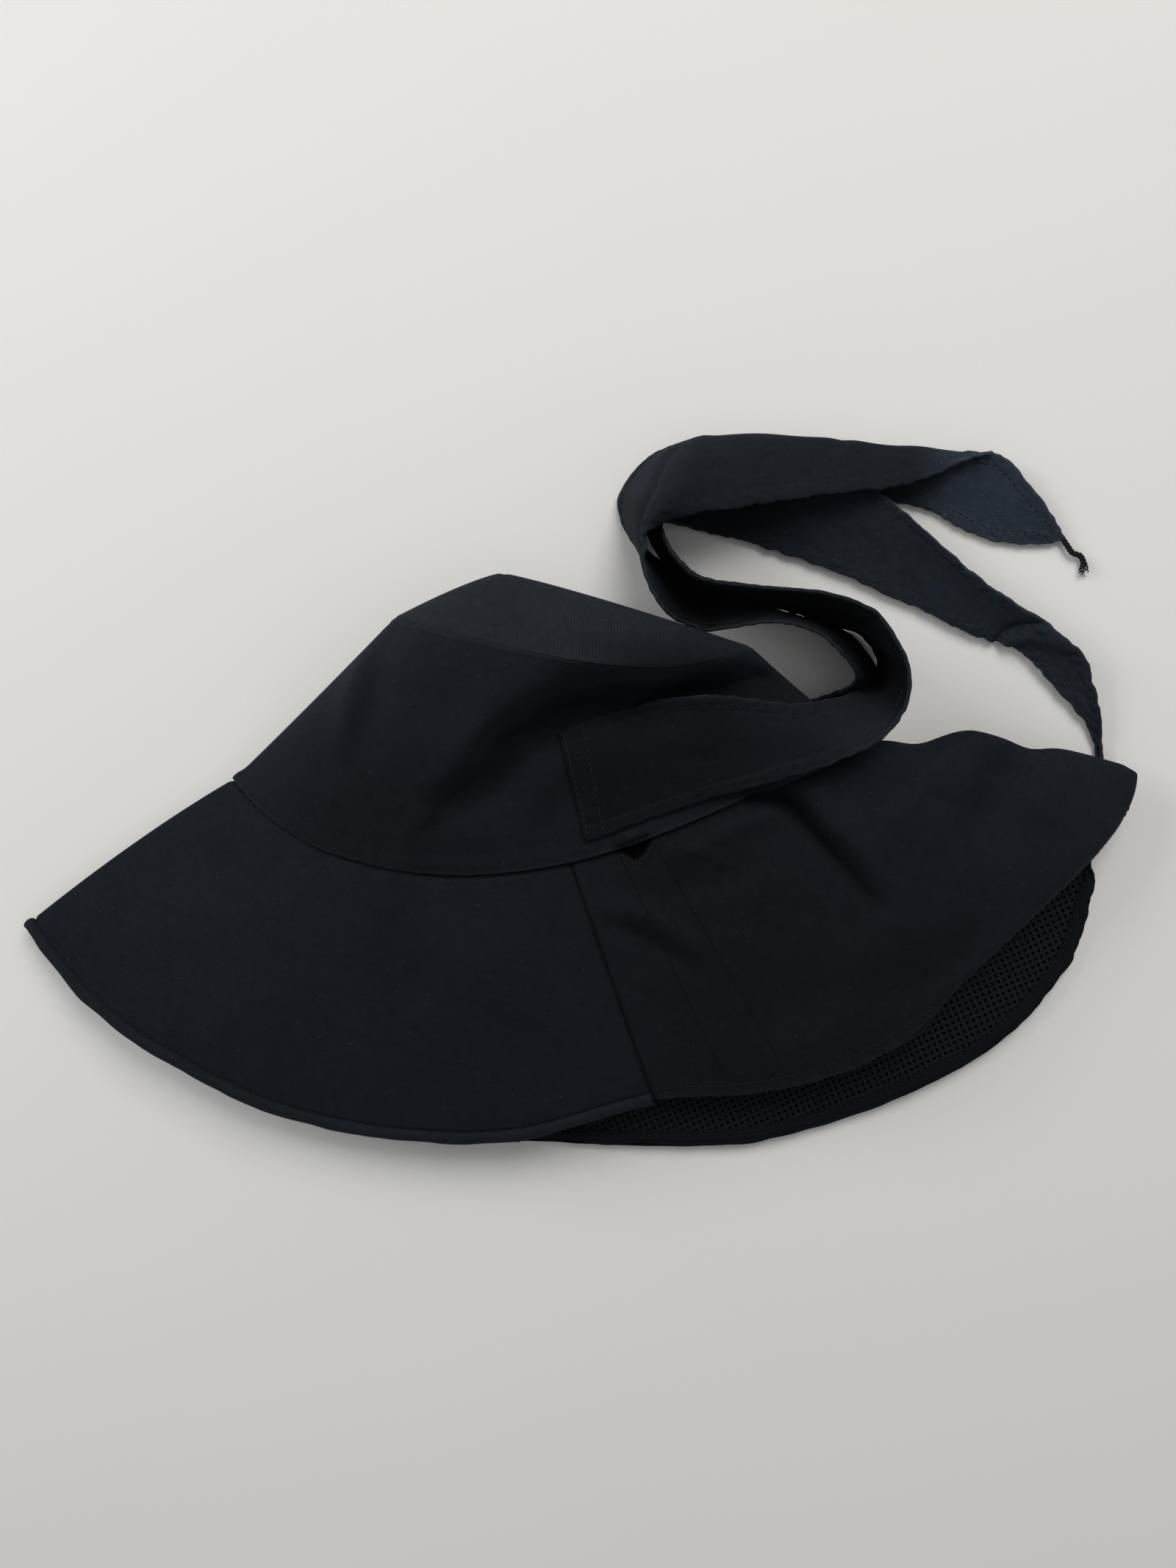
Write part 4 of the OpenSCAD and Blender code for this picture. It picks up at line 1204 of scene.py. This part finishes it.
def onTie(tie, runs, overs, face):
    # points and normals on a tie's face, given lengths along it and in from its first edge
    c = np.interp(runs, tie["run"][0], np.arange(tie["run"].shape[1]))
    c0 = np.minimum(c.astype(int), tie["run"].shape[1] - 2)
    points, normals = [], []
    for k, column in enumerate(c0):
        rows = np.interp(overs[k], tie["over"][:, column], np.arange(tie["over"].shape[0]))
        r0 = min(int(rows), tie["over"].shape[0] - 2)
        fr, fc = rows - r0, c[k] - column
        patch = [(r0, column, (1 - fr) * (1 - fc)), (r0 + 1, column, fr * (1 - fc)),
                 (r0, column + 1, (1 - fr) * fc), (r0 + 1, column + 1, fr * fc)]
        normal = sum(tie["normal"][i, j] * w for i, j, w in patch) * face
        centre = sum(tie["grid"][i, j] * w for i, j, w in patch)
        half = sum(tie["half"][i, j, 0] * w for i, j, w in patch)
        points.append(centre + normal * (half + 0.03))
        normals.append(normal)
    return np.array(points), np.array(normals)


def tieStitches(name, node, tie, face, seed):
    # hem rows down both edges on both faces, and two rows across the sewn end
    total = tie["run"][0, -1]
    parts = []
    for side in (0, 1):
        for way in (1, -1):
            runs = np.arange(12, total - 6, 1.0)
            columns = np.interp(runs, tie["run"][0], np.arange(tie["run"].shape[1])).astype(int)
            widths = tie["over"][-1, columns]
            inset = np.minimum(tieHem["stitchAt"], widths * 0.3)
            overs = inset if side == 0 else widths - inset
            line, normals = onTie(tie, runs, overs, way)
            parts += stitchRow(line, normals, 2.9, 2.0, 0.22, seed + side * 2 + way)
    width = tie["over"][-1, 4]
    for at in tieHem["rootRows"]:
        overs = np.linspace(1.5, width - 1.5, 60)
        line, normals = onTie(tie, np.full(60, at), overs, face)
        parts += stitchRow(line, normals, 2.6, 2.1, 0.30, seed + 9)
    addPiece(name, node, parts, thread)


tail = {"path": [(202, 110.2, 2.2), (204, 107, 2.5), (206.3, 104, 2.3), (209.6, 102.8, 2.1),
                 (211.2, 99.6, 1.9), (211.3, 96, 1.5)],
        "strands": 3, "twist": 0.72, "thick": 0.56, "turns": 4.2, "hairs": 7, "hairThick": 0.13}


def makeTail():
    # loose end of the hem: strands twisted together, fraying at the tip
    t = np.linspace(0, 1, 70)
    path = lineAt(np.array(tail["path"], float), t)
    up = np.tile([0, 0, 1.0], (len(t), 1))
    side, rise = sideFrame(path, up)

    def thinner(i, angle):  # towards the end
        return (1 - 0.6 * ramp(t[i], 0.8, 1.0))[:, None] * np.ones((1, len(angle)))

    parts = []
    for k in range(tail["strands"]):
        angle = 2 * math.pi * (k / tail["strands"] + tail["turns"] * t)
        spread = tail["twist"] * (1 + 1.6 * ramp(t, 0.75, 1.0))
        line = path + side * (np.cos(angle) * spread)[:, None] + rise * (np.sin(angle) * spread)[:, None]
        parts.append(tube(line, up, tail["thick"], tail["thick"], bulge=thinner))
    own = np.random.default_rng(7)
    for k in range(tail["hairs"]):
        way = unit(path[-1] - path[-6] + own.normal(0, 0.8, 3) * np.array([1, 1, 0.25]))
        start = path[-1 - own.integers(0, 16)]
        long = own.uniform(1.6, 4.0)
        f = np.linspace(0, 1, 10)[:, None]
        line = start + way * long * f + np.array([0.3, 0.2, -0.5]) * f ** 2
        line[:, 2] = np.maximum(line[:, 2], 0.35)
        parts.append(tube(line, up[:10], tail["hairThick"], tail["hairThick"], 5))
    addPiece("rightTieTail", "right_tie_tail", parts, thread)


slitSewing = {"lip": (0.2815, 0.3045), "whip": (0.283, 0.302), "whips": 9, "tack": (0.3065, 0.3078, 0.3091)}


def makeSlitBinding():
    # the short opening in the head seam behind the side seam: whipped lower lip and a bar tack at its end
    parts = []
    us = np.linspace(*slitSewing["lip"], 40)
    line, normal = onFace("brim", us, slitDepth(us) + 0.012, brimOffset, 0.06)
    parts += stitchRow(line, normal, 2.4, 2.0, 0.26, 81)
    for u in np.linspace(*slitSewing["whip"], slitSewing["whips"]):
        at = slitDepth(np.array([u]))[0]
        vs = np.linspace(at + 0.001, at + 0.014, 6)
        line, normal = onFace("brim", np.full_like(vs, u), vs, brimOffset, 0.06)
        parts.append(tube(line, normal, 0.22, 0.18, 6))
    for u in slitSewing["tack"]:
        vs = np.linspace(0.006, 0.066, 14)
        line, normal = onFace("brim", np.full_like(vs, u), vs, brimOffset, 0.10)
        parts += stitchRow(line, normal, 1.5, 1.35, 0.26, int(u * 1e4))
    addPiece("slitBinding", "slit_binding", parts, thread)


left = makeTie("leftTie", "left_tie", leftTie)
right = makeTie("rightTie", "right_tie", rightTie)
tieStitches("leftTieStitches", "left_tie_stitches", left, 1 if left["normal"][8, 4, 2] > 0 else -1, 101)
tieStitches("rightTieStitches", "right_tie_stitches", right, 1 if right["normal"][8, 4, 2] < 0 else -1, 131)
makeTail()
makeSlitBinding()
print("ties made")


# where each lamp hangs in metres, its size, power in watts and colour; all look at the hat
lamps = {
    "keyLight": {"at": (0.42, 1.05, 1.25), "size": (0.95, 0.95), "power": 13.5, "color": (1.0, 0.99, 0.97)},
    "leftLight": {"at": (-1.15, 0.55, 0.62), "size": (0.8, 0.6), "power": 8.7, "color": (0.97, 0.985, 1.0)},
    "fillLight": {"at": (0.5, -0.2, 1.3), "size": (1.2, 1.2), "power": 0.9, "color": (0.95, 0.98, 1.0)},
}
room = {"color": (0.93, 0.96, 1.0, 1), "strength": 0.265, "floorHalf": 3.0, "floorDrop": 0.0002}


def makeLamp(name, lamp):
    data = bpy.data.lights.new(name, "AREA")
    data.shape = "RECTANGLE"
    data.size, data.size_y = lamp["size"]
    data.energy, data.color = lamp["power"], lamp["color"]
    hung = bpy.data.objects.new(name, data)
    hung.location = lamp["at"]
    hung.rotation_euler = (-Vector(lamp["at"])).to_track_quat("-Z", "Y").to_euler()
    bpy.context.scene.collection.objects.link(hung)


def makeStudio():
    for name, lamp in lamps.items():
        makeLamp(name, lamp)
    world = bpy.data.worlds.new("room")
    world.use_nodes = True
    world.node_tree.nodes["Background"].inputs["Color"].default_value = room["color"]
    world.node_tree.nodes["Background"].inputs["Strength"].default_value = room["strength"]
    bpy.context.scene.world = world
    bpy.context.scene.view_settings.view_transform = "Standard"
    half = room["floorHalf"]
    mesh = bpy.data.meshes.new("tableTop")
    corners = [(-half, -half, 0), (half, -half, 0), (half, half, 0), (-half, half, 0)]
    mesh.from_pydata(corners, [], [(0, 1, 2, 3)])
    mesh.materials.append(makeFloor())
    floor = bpy.data.objects.new("tableTop", mesh)
    floor.location.z = cadLow.z - room["floorDrop"]
    bpy.context.scene.collection.objects.link(floor)


makeStudio()
print("studio made")
